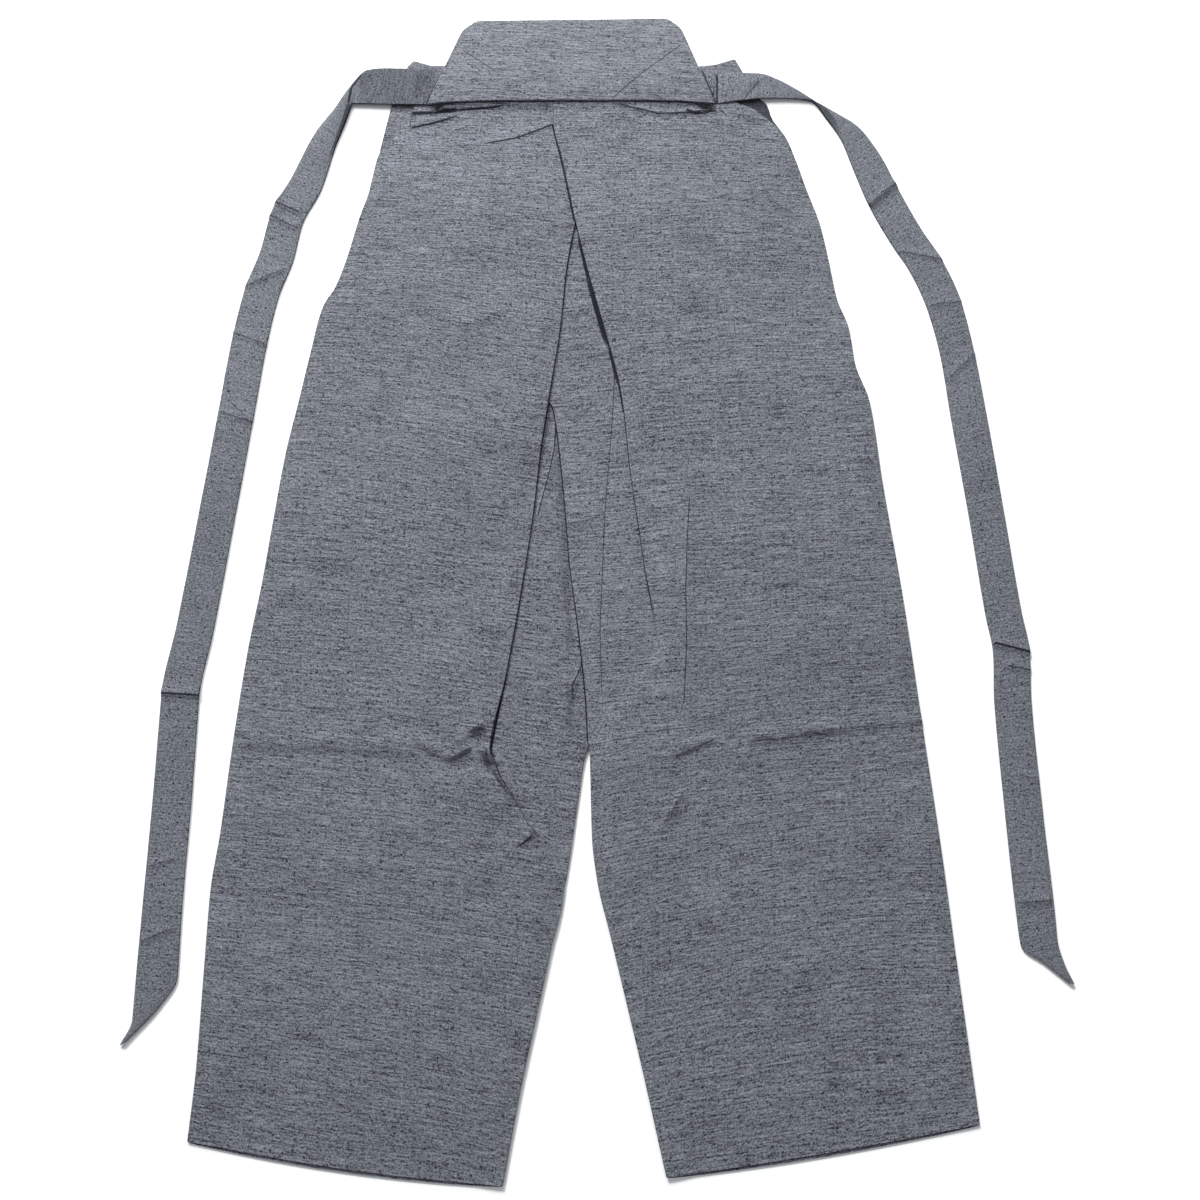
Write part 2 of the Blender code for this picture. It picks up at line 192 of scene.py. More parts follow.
def beside(path: Sequence[tuple[float, float]], reach: float, x: Array, y: Array) -> Nearness:
    """Measure points against a path.

    Args:
        path: The path's points in millimetres.
        reach: How far from it points count, in metres.
        x: Where the points are across the garment, in metres.
        y: Their heights on it, in metres.

    Returns:
        The measures of the points that are near the path.
    """
    line = np.array(path, float) * MM
    near = (x > line[:, 0].min() - reach) & (x < line[:, 0].max() + reach)
    near &= (y > line[:, 1].min() - reach) & (y < line[:, 1].max() + reach)
    px, py = x[near], y[near]
    runs = np.diff(line, axis=0)
    lengths = np.hypot(runs[:, 0], runs[:, 1])
    starts = np.concatenate([[0.0], np.cumsum(lengths)])
    away = np.full(px.shape, np.inf)
    side, along = np.zeros_like(px), np.zeros_like(px)
    for k, (dx, dy) in enumerate(runs):
        ax, ay = line[k]
        share = np.clip(((px - ax) * dx + (py - ay) * dy) / lengths[k] ** 2, 0.0, 1.0)
        ox, oy = px - ax - share * dx, py - ay - share * dy
        distance = np.hypot(ox, oy)
        closer = distance < away
        away = np.where(closer, distance, away)
        side = np.where(closer, dx * oy - dy * ox, side)
        along = np.where(closer, starts[k] + share * lengths[k], along)
    return Nearness(near, away, side > 0.0, along, float(starts[-1]))


def crease_heights(creases: Sequence[Crease], x: Array, y: Array) -> tuple[Array, Array]:
    """Sum the creases' lift and painted shadow at points on the cloth.

    Args:
        creases: Ridges and troughs.
        x: Where the points are across the garment, in metres.
        y: Their heights on it, in metres.

    Returns:
        How far each point is lifted, in metres, and how much painted shadow the crease gives it, from 0 to 1.
    """
    total, dark = np.zeros_like(x), np.zeros_like(x)
    for crease in creases:
        at = beside(crease.path, 3.0 * max(crease.gentle, crease.steep, crease.shadow_width) * MM, x, y)
        width = np.where(at.left, crease.gentle, crease.steep) * MM
        ends = smooth(0.15 + at.along / max(crease.fade_in * MM, 1e-6))
        ends = ends * smooth(0.15 + (at.length - at.along) / max(crease.fade_out * MM, 1e-6))
        total[at.near] += crease.lift * MM * np.exp(-((at.away / width) ** 2)) * ends
        if crease.shadow_width >= WIDEST_LINE:
            line = crease.shadow * np.exp(-((at.away / (crease.shadow_width * MM)) ** 2)) * ends
            dark[at.near] = np.maximum(dark[at.near], line)
    return total, dark


def crease_shadow_lines(creases: Sequence[Crease]) -> tuple[Line, ...]:
    """Give each sharply pressed crease its line of painted shadow.

    Args:
        creases: Ridges and troughs.

    Returns:
        The lines of those whose shadow is thin.
    """
    return tuple(
        Line(crease.path, crease.shadow_width * 1.2, crease.shadow, crease.fade_in, crease.fade_out)
        for crease in creases
        if crease.shadow > 0.0 and crease.shadow_width < WIDEST_LINE
    )


def ruled(lines: Sequence[Line], x: Array, y: Array) -> tuple[Array, Array]:
    """Measure points against the nearest painted shadow line, so that the finish can paint it sharply between
    them.

    Args:
        lines: Thin dark lines.
        x: Where the points are across the garment, in metres.
        y: Their heights on it, in metres.

    Returns:
        Each point's signed distance from its line in half widths, and how dark the line's painted shadow is
        there.
    """
    off, painted_line_dark = np.full(x.shape, FAR_OFF), np.zeros(x.shape)
    for line in lines:
        at = beside(line.path, (line.width + LINE_REACH) * MM, x, y)
        ends = smooth(0.1 + at.along / max(line.fade_in * MM, 1e-6))
        ends = ends * smooth(0.1 + (at.length - at.along) / max(line.fade_out * MM, 1e-6))
        half = line.width / 2 * MM * (0.3 + 0.7 * ends)
        now = np.where(at.left, 1.0, -1.0) * at.away / half
        closer = np.abs(now) < np.abs(off[at.near])
        strength = line.painted_line_dark * ends * (1 - smooth((at.away - half - 2.5 * MM) / (2.5 * MM)))
        off[at.near] = np.where(closer, now, off[at.near])
        painted_line_dark[at.near] = np.where(closer, strength, painted_line_dark[at.near])
    return np.clip(off, -FAR_OFF, FAR_OFF), painted_line_dark


def undulation(
    x: Array, y: Array, lift: float, seed: int, shortest: float = 0.05, longest: float = 0.2
) -> Array:
    """Give cloth the low uneven waves that it keeps when it's laid down.

    Args:
        x: Where the points are across the garment, in metres.
        y: Their heights on it, in metres.
        lift: The waves' size in metres.
        seed: Picks the waves.
        shortest: The shortest wave in metres.
        longest: The longest wave in metres.

    Returns:
        How far each point is lifted, in metres, from 0 up.
    """
    draw = np.random.default_rng(seed)
    total = np.zeros_like(x)
    for _ in range(16):
        angle, length = draw.uniform(0.0, math.tau), draw.uniform(shortest, longest)
        phase, bend = draw.uniform(0.0, math.tau), draw.uniform(0.5, 2.5)
        wave = (x * math.cos(angle) + y * math.sin(angle)) / length * math.tau
        across = (x * math.sin(angle) - y * math.cos(angle)) / (longest * 1.7) * math.tau
        total += np.sin(wave + phase + bend * np.sin(across + 2 * phase)) * length
    low, high = total.min(), total.max()
    return (total - low) / max(high - low, 1e-9) * lift


# --------------------------------------------------------------------------------------------------
# Meshes


def body_between(
    name: str,
    upper: Array,
    lower: Array,
    chart: Array,
    painted_shade: Array | None = None,
    lines: Sequence[Line] = (),
) -> bpy.types.Object:
    """Make one closed body between two grids of points.

    Args:
        name: The piece's name.
        upper: Rows by columns by 3, the upper skin.
        lower: The lower skin, point for point under the upper one.
        chart: Rows by columns by 2, each point's place on the flat cloth in metres.
        painted_shade: How much painted shade each point has for its creases and gaps, from 0 to 1, or None
            where the piece has none.
        lines: Thin lines of painted shadow on the cloth.

    Returns:
        The new object, smooth shaded, with its cloth map as its UV map.
    """
    rows, columns = upper.shape[:2]
    count = rows * columns
    index = np.arange(count).reshape(rows, columns)
    a, b = index[:-1, :-1].ravel(), index[:-1, 1:].ravel()
    d, e = index[1:, :-1].ravel(), index[1:, 1:].ravel()
    above = np.stack([a, b, e, d], axis=1)
    below = np.stack([a, d, e, b], axis=1) + count
    ring = np.concatenate([index[0, :], index[1:, -1], index[-1, -2::-1], index[-2:0:-1, 0]])
    after = np.roll(ring, -1)
    rim = np.stack([ring, ring + count, after + count, after], axis=1)
    faces = np.concatenate([above, below, rim])
    points = np.concatenate([upper.reshape(-1, 3), lower.reshape(-1, 3)])
    corners = points[faces]
    volume = sum(
        np.einsum("ij,ij->i", corners[:, 0], np.cross(corners[:, k], corners[:, k + 1])).sum() for k in (1, 2)
    )
    if volume < 0.0:
        faces = faces[:, ::-1]
    mesh = bpy.data.meshes.new(name)
    mesh.vertices.add(len(points))
    mesh.vertices.foreach_set("co", points.astype(np.float32).ravel())
    mesh.loops.add(faces.size)
    mesh.loops.foreach_set("vertex_index", faces.astype(np.int32).ravel())
    mesh.polygons.add(len(faces))
    mesh.polygons.foreach_set("loop_start", np.arange(0, faces.size, 4, dtype=np.int32))
    mesh.update(calc_edges=True)
    mesh.validate()
    places = np.concatenate([chart.reshape(-1, 2), chart.reshape(-1, 2)])
    layer = mesh.uv_layers.new(name="cloth")
    layer.data.foreach_set("uv", places[faces.ravel()].astype(np.float32).ravel())
    # Painted shade and painted shadow lines, kept on the points for the finish to darken the cloth with
    painted_dark = np.zeros(count) if painted_shade is None else np.clip(painted_shade, 0.0, 1.0).ravel()
    off, painted_line_dark = ruled(lines, upper[..., 0], upper[..., 1])
    for key, values in (("painted_shade", painted_dark), ("line_off", off.ravel()), ("painted_line_strength", painted_line_dark.ravel())):
        shade = mesh.attributes.new(key, "FLOAT", "POINT")
        shade.data.foreach_set("value", np.concatenate([values, values]).astype(np.float32))
    mesh.shade_smooth()
    mesh.set_sharp_from_angle(angle=RIM_ANGLE)
    obj = bpy.data.objects.new(name, mesh)
    bpy.context.scene.collection.objects.link(obj)
    return obj


def grid_normals(middle: Array) -> Array:
    """Find the upward-running normals of a grid of points.

    Args:
        middle: Rows by columns by 3.

    Returns:
        A unit vector for each point.
    """
    across, down = np.gradient(middle, axis=1), np.gradient(middle, axis=0)
    normals = np.cross(down, across)
    length = np.linalg.norm(normals, axis=2, keepdims=True)
    return normals / np.maximum(length, 1e-12)


def cloth_sheet(
    name: str,
    middle: Array,
    thickness: Array | float,
    chart: Array,
    painted_shade: Array | None = None,
    lines: Sequence[Line] = (),
) -> bpy.types.Object:
    """Give a sheet of cloth its thickness.

    Args:
        name: The piece's name.
        middle: Rows by columns by 3, the middle of the cloth.
        thickness: One thickness in metres, or one for each point.
        chart: Rows by columns by 2, each point's place on the flat cloth in metres.
        painted_shade: How much painted shade each point has for its creases and gaps, from 0 to 1, or None
            where the piece has none.
        lines: Thin lines of painted shadow on the cloth.

    Returns:
        The closed sheet.
    """
    half = np.broadcast_to(np.asarray(thickness, float), middle.shape[:2])[..., None] / 2
    normals = grid_normals(middle)
    return body_between(name, middle + normals * half, middle - normals * half, chart, painted_shade, lines)


# --------------------------------------------------------------------------------------------------
# Shader trees


class Wire:
    """A value in a shader tree; an expression on it adds the Math nodes that work it out."""

    def __init__(self, bench: "Bench", socket: bpy.types.NodeSocket) -> None:
        """Wrap one output socket of a bench's tree."""
        self.bench, self.socket = bench, socket

    def _math(self, operation: str, first: Any, second: Any = 0.0) -> "Wire":
        """Add one Math node.

        Args:
            operation: The Math node's operation.
            first: Wire or number.
            second: Wire or number.

        Returns:
            The node's value.
        """
        return self.bench.node("ShaderNodeMath", {"operation": operation}, {0: first, 1: second}, "Value")

    def __add__(self, other: Any) -> "Wire":
        """Sum."""
        return self._math("ADD", self, other)

    __radd__ = __add__

    def __sub__(self, other: Any) -> "Wire":
        """Difference."""
        return self._math("SUBTRACT", self, other)

    def __rsub__(self, other: Any) -> "Wire":
        """Difference from a number."""
        return self._math("SUBTRACT", other, self)

    def __mul__(self, other: Any) -> "Wire":
        """Product."""
        return self._math("MULTIPLY", self, other)

    __rmul__ = __mul__

    def sine(self) -> "Wire":
        """Sine of the value."""
        return self._math("SINE", self)

    def size(self) -> "Wire":
        """The value without its sign."""
        return self._math("ABSOLUTE", self)

    def least(self, other: Any) -> "Wire":
        """The smaller of the two."""
        return self._math("MINIMUM", self, other)

    def most(self, other: Any) -> "Wire":
        """The larger of the two."""
        return self._math("MAXIMUM", self, other)

    def ease(self, low: Any, high: Any) -> "Wire":
        """Ease from 0 at low to 1 at high.

        Args:
            low: Where the ease starts.
            high: Where it ends.

        Returns:
            The eased value.
        """
        return self.bench.node(
            "ShaderNodeMapRange",
            {"interpolation_type": "SMOOTHSTEP"},
            {"Value": self, "From Min": low, "From Max": high, "To Min": 0.0, "To Max": 1.0},
            "Result",
        )


class Bench:
    """A material's shader tree while it's being put together."""

    def __init__(self, name: str) -> None:
        """Start an empty material.

        Args:
            name: The material's name.
        """
        self.material = bpy.data.materials.new(name)
        self.material.use_nodes = True
        self.tree = self.material.node_tree
        self.tree.nodes.clear()

    def node(self, kind: str, settings: dict[str, Any], inputs: dict[Any, Any], output: Any) -> Wire:
        """Add one node.

        Args:
            kind: The node's type.
            settings: Its settings, set before anything is linked.
            inputs: Wires or values for its sockets, by name or number.
            output: The name or number of the socket to hand back.

        Returns:
            That socket.
        """
        made = self.tree.nodes.new(kind)
        for key, value in settings.items():
            setattr(made, key, value)
        for key, value in inputs.items():
            if isinstance(value, Wire):
                self.tree.links.new(value.socket, made.inputs[key])
            else:
                made.inputs[key].default_value = value
        return Wire(self, made.outputs[output])

    def cloth_map(self) -> tuple[Wire, Wire]:
        """Read the place on the flat cloth.

        Returns:
            Metres along the weft and metres along the warp.
        """
        chart = self.node("ShaderNodeUVMap", {"uv_map": "cloth"}, {}, "UV")
        parts = self.node("ShaderNodeSeparateXYZ", {}, {"Vector": chart}, "X")
        return parts, Wire(self, parts.socket.node.outputs["Y"])

    def vector(self, x: Any, y: Any, z: Any = 0.0) -> Wire:
        """Join three values into a vector."""
        return self.node("ShaderNodeCombineXYZ", {}, {"X": x, "Y": y, "Z": z}, "Vector")

    def noise(self, at: Wire, detail: float) -> Wire:
        """Read flat noise with features about one unit across.

        Args:
            at: Where to read it.
            detail: How many finer layers it has.

        Returns:
            A value about 0.5.
        """
        return self.node(
            "ShaderNodeTexNoise",
            {"noise_dimensions": "2D"},
            {"Vector": at, "Scale": 1.0, "Detail": detail, "Roughness": 0.5},
            "Fac",
        )

    def blend(self, share: Any, first: Any, second: Any) -> Wire:
        """Mix two colours.

        Args:
            share: How much of the second.
            first: Wire or colour.
            second: Wire or colour.

        Returns:
            The mixed colour.
        """
        made = self.tree.nodes.new("ShaderNodeMix")
        made.data_type = "RGBA"
        for key, value in ((0, share), (6, first), (7, second)):
            if isinstance(value, Wire):
                self.tree.links.new(value.socket, made.inputs[key])
            else:
                made.inputs[key].default_value = value
        return Wire(self, made.outputs[2])

    def finish(
        self, colour: Any, roughness: Any, height: Any, distance: float, sheen: float = 0.0
    ) -> bpy.types.Material:
        """Join everything to one shader.

        Args:
            colour: Wire or colour.
            roughness: Wire or number.
            height: The surface relief, or None.
            distance: How far the relief reaches in metres.
            sheen: How much fuzz catches the light.

        Returns:
            The finished material.
        """
        inputs: dict[Any, Any] = {
            "Base Color": colour,
            "Roughness": roughness,
            "Specular IOR Level": 0.25,
            "Sheen Weight": sheen,
            "Sheen Roughness": 0.5,
        }
        if height is not None:
            inputs["Normal"] = self.node(
                "ShaderNodeBump", {}, {"Strength": 0.6, "Distance": distance, "Height": height}, "Normal"
            )
        shader = self.node("ShaderNodeBsdfPrincipled", {}, inputs, "BSDF")
        output = self.tree.nodes.new("ShaderNodeOutputMaterial")
        self.tree.links.new(shader.socket, output.inputs["Surface"])
        return self.material


# One thread to the next across the cloth and along it, in metres
WARP_PITCH = 0.00062
WEFT_PITCH = 0.00058
# What the cloth's darkest yarn and the painted shade in its gaps tend to
DEEPEST = (0.003, 0.004, 0.010, 1.0)


class Tint(NamedTuple):
    """A linear colour."""

    red: float
    green: float
    blue: float

    def scaled(self, by: float) -> tuple[float, float, float, float]:
        """The colour made lighter or darker, with full alpha."""
        return (self.red * by, self.green * by, self.blue * by, 1.0)


@dataclass(frozen=True)
class SlubCloth:
    """Matte plain-woven cotton whose uneven weft yarn shows as short dark and light streaks. Painted shade
    darkens it in creases and gaps.
    """

    name: str
    tint: Tint = Tint(0.137, 0.144, 0.162)
    streak: float = 1.0
    grain: float = 1.0

    def make(self) -> bpy.types.Material:
        """Build the material.

        Returns:
            The cloth, read along its own weft and warp.
        """
        bench = Bench(self.name)
        weft, warp = bench.cloth_map()
        wander = bench.noise(bench.vector(weft * 9.0, warp * 9.0), 1.0)
        sway = bench.noise(bench.vector(weft * 3.1 + 2.0, warp * 3.1), 0.0)
        line = warp + wander * 0.004 + sway * 0.03
        fine = bench.noise(bench.vector(weft * 430.0, line * 700.0), 1.0)
        middle = bench.noise(bench.vector(weft * 130.0 + 7.3, line * 690.0), 1.0)
        long = bench.noise(bench.vector(weft * 30.0 + 3.1, line * 700.0), 1.0)
        grain = bench.noise(bench.vector(weft * 950.0 + 1.7, line * 860.0), 0.0)
        band = bench.noise(bench.vector(weft * 4.0 + 9.0, line * 52.0), 2.0)
        cloud = bench.noise(bench.vector(weft * 6.0 + 5.0, warp * 9.0), 2.0)
        dark_slub = bench.noise(bench.vector(weft * 210.0 + 11.0, line * 880.0 + 4.0), 0.0).ease(0.69, 0.80)
        dark_yarn = bench.noise(bench.vector(weft * 42.0 + 31.0, line * 760.0 + 2.0), 0.0).ease(0.72, 0.80)
        pale_slub = bench.noise(bench.vector(weft * 60.0 + 23.0, line * 640.0 + 9.0), 0.0).ease(0.68, 0.82)
        cells = bench.node(
            "ShaderNodeTexVoronoi",
            {"voronoi_dimensions": "2D", "feature": "F1"},
            {"Vector": bench.vector(weft * 120.0, line * 170.0), "Scale": 1.0, "Randomness": 1.0},
            "Distance",
        )
        cell_colour = Wire(bench, cells.socket.node.outputs["Color"])
        lot = bench.node("ShaderNodeSeparateColor", {}, {"Color": cell_colour}, 0)
        speck = cells.ease(0.15, 0.07) * lot.ease(0.66, 0.72)
        threads = (weft * (math.tau / WARP_PITCH)).sine() * (warp * (math.tau / WEFT_PITCH)).sine()
        shade = (
            1.0
            + (fine - 0.5) * (1.6 * self.grain)
            + (middle - 0.5) * (1.2 * self.streak)
            + (long - 0.5) * (1.3 * self.streak)
            + (grain - 0.5) * (1.5 * self.grain)
            + (band - 0.5) * (0.30 * self.streak)
            + (cloud - 0.5) * 0.20
            + pale_slub * (0.12 * self.streak)
            + threads * 0.05
        )
        slub = dark_slub * (0.42 * self.streak) + dark_yarn * (0.34 * self.streak)
        shade = (shade - slub - speck * 1.1).most(0.1)
        # Painted shade: the darkness and the painted shadow lines that each piece carries on its points
        # darken the yarn here
        off = bench.node("ShaderNodeAttribute", {"attribute_name": "line_off"}, {}, "Fac")
        painted_line_dark = bench.node("ShaderNodeAttribute", {"attribute_name": "painted_line_strength"}, {}, "Fac")
        painted_dark = bench.node("ShaderNodeAttribute", {"attribute_name": "painted_shade"}, {}, "Fac")
        painted_dark = painted_dark.most(painted_line_dark * (1.0 - off.size().ease(0.62, 1.06)))
        shade = shade * (1.0 - painted_dark * 0.97)
        yarn = bench.blend((shade * 0.4).least(1.0), DEEPEST, self.tint.scaled(2.5))
        dusk = Tint(self.tint.red * 0.88, self.tint.green * 0.92, self.tint.blue * 1.02).scaled(0.5)
        colour = bench.blend(dark_slub * (1.0 - painted_dark) * 0.3, yarn, dusk)
        relief = threads * 0.5 + fine * 1.2 + grain * 0.8 - dark_slub * 0.4
        roughness = 0.9 - (fine - 0.5) * 0.2
        return bench.finish(colour, roughness, relief, 0.00022, 0.05)


@dataclass(frozen=True)
class Thread:
    """Sewing thread in the cloth's own grey."""

    name: str
    tint: Tint = Tint(0.055, 0.057, 0.068)

    def make(self) -> bpy.types.Material:
        """Build the material.

        Returns:
            The finished material.
        """
        bench = Bench(self.name)
        place = bench.node("ShaderNodeTexCoord", {}, {}, "Object")
        wear = bench.node("ShaderNodeTexNoise", {}, {"Vector": place, "Scale": 700.0, "Detail": 1.0}, "Fac")
        colour = bench.blend(wear, self.tint.scaled(0.7), self.tint.scaled(1.4))
        return bench.finish(colour, 0.8 + wear * 0.1, wear, 0.0001)


@dataclass(frozen=True)
class TableTop:
    """Plain pale table."""

    name: str
    tint: Tint = Tint(0.97, 0.97, 0.96)

    def make(self) -> bpy.types.Material:
        """Build the material.

        Returns:
            The finished material.
        """
        bench = Bench(self.name)
        place = bench.node("ShaderNodeTexCoord", {}, {}, "Object")
        tone = bench.node("ShaderNodeTexNoise", {}, {"Vector": place, "Scale": 3.0, "Detail": 2.0}, "Fac")
        colour = bench.blend(tone, self.tint.scaled(0.99), self.tint.scaled(1.0))
        return bench.finish(colour, 0.9, None, 0.0)


@dataclass(frozen=True)
class Finishes:
    """Every finish of the trousers."""

    cloth: bpy.types.Material
    board: bpy.types.Material
    tie: bpy.types.Material
    thread: bpy.types.Material

    @classmethod
    def made(cls) -> "Finishes":
        """Build the finishes.

        Returns:
            All four.
        """
        return cls(
            cloth=SlubCloth("slub_cotton_panels").make(),
            board=SlubCloth("slub_cotton_board", Tint(0.143, 0.150, 0.167), grain=0.8).make(),
            tie=SlubCloth("slub_cotton_ties", Tint(0.134, 0.141, 0.159), streak=0.5).make(),
            thread=Thread("grey_sewing_thread").make(),
        )


def dress(obj: bpy.types.Object, material: bpy.types.Material, node: str) -> bpy.types.Object:
    """Give a piece its finish and stand it in for its CAD node.

    Args:
        obj: The finished piece.
        material: What it's made of.
        node: The CAD node that it replaces.

    Returns:
        The piece.
    """
    obj.data.materials.clear()
    obj.data.materials.append(material)
    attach(obj, "root")
    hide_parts(node)
    triangles = sum(len(p.vertices) - 2 for p in obj.data.polygons)
    log.info("%s: %d triangles", obj.name, triangles)
    return obj


# --------------------------------------------------------------------------------------------------
# Outlines of the legs, as rows of height and X, in millimetres

SIDE_LEFT = (
    (424, -190), (415, -192), (350, -204), (322, -209), (302, -215), (256, -226), (231, -234),
    (212, -244), (166, -253), (125, -260), (74, -269), (14, -276), (-40, -282), (-98, -290),
    (-186, -298), (-243, -302), (-296, -307), (-417, -308), (-475, -311),
)
SIDE_RIGHT = (
    (424, 144), (415, 154), (401, 158), (383, 169), (359, 177), (328, 186), (292, 197), (258, 203),
    (219, 209), (192, 218), (158, 222), (122, 233), (51, 240), (-54, 252), (-175, 263), (-263, 271),
    (-343, 277), (-463, 287),
)
BACK_SIDE_LEFT = ((428, -166), (405, -173), (385, -184), (360, -202)) + SIDE_LEFT[2:]
BACK_SIDE_RIGHT = ((428, 110), (417, 124), (410, 140), (400, 152), (383, 168)) + SIDE_RIGHT[4:]
INNER_LEFT = (
    (-176, -9.4), (-186, -12.6), (-215, -17), (-282, -27), (-335, -38.5), (-388, -50), (-439, -61),
    (-506, -73),
)
INNER_RIGHT = (
    (-176, -9), (-186, -7.8), (-210, -7.2), (-250, -6), (-282, -2), (-327, 9), (-372, 20), (-417, 31),
    (-500, 50),
)
VENT_LEFT = (
    (428, -3), (295, -22), (245, -30), (190, -35), (126, -44), (76, -51), (26, -56), (-62, -68), (-123, -78),
    (-180, -89), (-202, -80), (-215, -71), (-230, -62), (-245, -50), (-285, -28),
) + INNER_LEFT[4:]
VENT_RIGHT = (
    (428, -43), (393, -42), (348, -32), (295, -22), (239, -9), (190, 4), (143, 16), (111, 21), (58, 26),
    (7, 33), (-30, 38), (-86, 47), (-110, 35), (-130, 18), (-149, 0), (-176, -8), (-210, -7.2), (-250, -6),
    (-282, -2),
) + INNER_RIGHT[5:]
GUSSET_EDGE = (
    (305, -38), (190, -50), (128, -48), (115, -40), (104, -38), (65, -33), (24, -29), (-24, -25), (-68, -19),
    (-109, -14), (-137, -11), (-176, -9),
) + INNER_RIGHT[1:]

# Height of each panel's lower surface along its inner edge
LEVEL_LEFT = (
    (428, 3.6), (350, 3.6), (325, 5.4), (95, 5.4), (45, 3.0), (-275, 3.0), (-302, 1.8), (-520, 1.8),
)
LEVEL_RIGHT = (
    (428, 5.4), (375, 5.4), (350, 7.2), (285, 7.2), (240, 5.4), (-105, 5.4), (-125, 3.8), (-182, 3.6),
    (-215, 1.8), (-520, 1.8),
)


def lean(y: Array) -> Array:
    """How far the leaning board has come down at a height, in metres."""
    return -0.092 * (y - 420 * MM)


BOARD_CORNERS = ((-158, 409.3), (104.5, 410), (72, 506.0), (-124.5, 503.0))
BOARD_ARCH = 4.2
# The board's face comes down by this much at its lower edge
BOARD_DROOP = 1.9 * MM
BOARD_BOTTOM = 8.4 * MM
BOARD_THICKNESS = 3.2 * MM
BOARD_ROUNDING = 1.3 * MM
# The seams where the ties' cloth is turned onto the board, in millimetres
BOARD_SEAM_LEFT = ((-131.5, 472.0), (-110, 455.5), (-84, 435.0))
BOARD_SEAM_RIGHT = ((78, 477.5), (44, 447.5), (9.3, 413.5))


def board_half(edge: Array) -> Array:
    """Half of the board's thickness this far inside its outline, in metres."""
    round_off = np.sqrt(1 - (1 - np.clip(edge / BOARD_ROUNDING, 0, 1)) ** 2)
    return 0.5 * (BOARD_THICKNESS - 0.5 * MM) * round_off + 0.35 * MM * smooth(edge / (22 * MM))


def board_low(x: Array | float) -> Array:
    """Follow the board's lower edge, which arches a little.

    Args:
        x: Where along it, in metres.

    Returns:
        Its height on the garment, in millimetres.
    """
    (x0, y0), (x1, y1) = BOARD_CORNERS[:2]
    share = np.clip((np.asarray(x) / MM - x0) / (x1 - x0), 0.0, 1.0)
    return y0 + (y1 - y0) * share + BOARD_ARCH * (1 - np.abs(2 * share - 1) ** 5)


def board_edge_shadow(start: float, stop: float) -> Line:
    """The painted shadow line under the board's lower edge, where it is sewn down, between two places in
    millimetres.
    """
    path = tuple((float(x), float(board_low(x * MM)) - 0.1) for x in np.linspace(start, stop, 12))
    return Line(path, 1.3, 0.95, 2.0, 2.0)


@dataclass(frozen=True)
class Leg:
    """What the pieces of one leg share: its outlines, its hem and the way its weave runs."""

    side: Profile
    back_side: Profile
    inner: Profile
    hem: float
    drop: float
    sag: float
    weft_tilt: Profile
    chart_origin: tuple[float, float]

    def hem_path(self) -> tuple[tuple[float, float], ...]:
        """Follow the back panel's hem.

        Returns:
            Points from the side to the inside of the leg, in millimetres.
        """
        start = float(self.side(self.hem * MM)) / MM
        stop = float(self.inner((self.hem - self.drop) * MM)) / MM
        points = []
        for share in np.linspace(0.0, 1.0, 13):
            y = self.hem - self.drop * share - self.sag * math.sin(math.pi * share)
            points.append((start + (stop - start) * float(share), y))
        return tuple(points)

    @staticmethod
    def sagging(y: Array) -> Array:
        """How much of the hem's sag a row has, from 0 high up to 1 at the hem."""
        return smooth((SAG_START - y) / SAG_RUN)

    def drop_at(self, y: Array | float) -> Array:
        """How much lower a row ends at the inside of the leg than at its side, in metres."""
        return self.drop * MM * smooth(y / (self.hem * MM))

    def chart(self, x: Array, y: Array) -> Array:
        """Places on the flat cloth.

        Args:
            x: Where the points are across the garment, in metres.
            y: Their heights on it, in metres.

        Returns:
            Metres along the weft and along the warp, stacked on a last axis.
        """
        middle = (self.side(y) + self.inner(np.minimum(y, CROTCH))) / 2
        tilt = self.weft_tilt(y) / MM
        across, along = self.chart_origin
        return np.stack([x + across, y + (x - middle) * tilt + along], axis=-1)


LEFT_LEG = Leg(
    side=Profile(SIDE_LEFT),
    back_side=Profile(BACK_SIDE_LEFT),
    inner=Profile(INNER_LEFT),
    hem=-475,
    drop=31,
    sag=3.6,
    weft_tilt=Profile(((428, 0.05), (200, 0.08), (-100, 0.12), (-475, 0.17))),
    chart_origin=(0.6, 0.7),
)
RIGHT_LEG = Leg(
    side=Profile(SIDE_RIGHT),
    back_side=Profile(BACK_SIDE_RIGHT),
    inner=Profile(INNER_RIGHT),
    hem=-463,
    drop=37,
    sag=1.8,
    weft_tilt=Profile(((428, -0.02), (200, -0.05), (-100, -0.11), (-475, -0.17))),
    chart_origin=(2.1, 3.4),
)


def row_heights(zones: Sequence[Zone]) -> Array:
    """List the rows of a grid from the top down.

    Args:
        zones: Stretches of rows, each from the height where the last one ended.

    Returns:
        Heights in metres.
    """
    heights: list[float] = []
    for zone in zones:
        steps = max(1, round((zone.top - zone.bottom) / zone.spacing))
        heights += list(np.linspace(zone.top, zone.bottom, steps, endpoint=False))
    return np.array(heights + [zones[-1].bottom]) * MM


def turned_down(edge: Array, toward: Array, radius: Array, turns: Sequence[float]) -> Array:
    """Turn an edge down and round.

    Args:
        edge: Rows by 1 by 3, the edge's points.
        toward: Which way the turn bulges, +1 or -1, for each row.
        radius: How round the turn is, for each row.
        turns: How far round each new column is, in degrees.

    Returns:
        The turn's columns, in the order of turns.
    """
    columns = []
    for turn in np.radians(turns):
        shift = np.concatenate(
            [toward * radius * math.sin(turn), 0 * toward, -radius * (1 - math.cos(turn))], axis=1
        )
        columns.append(edge + shift[:, None])
    return np.concatenate(columns, axis=1)


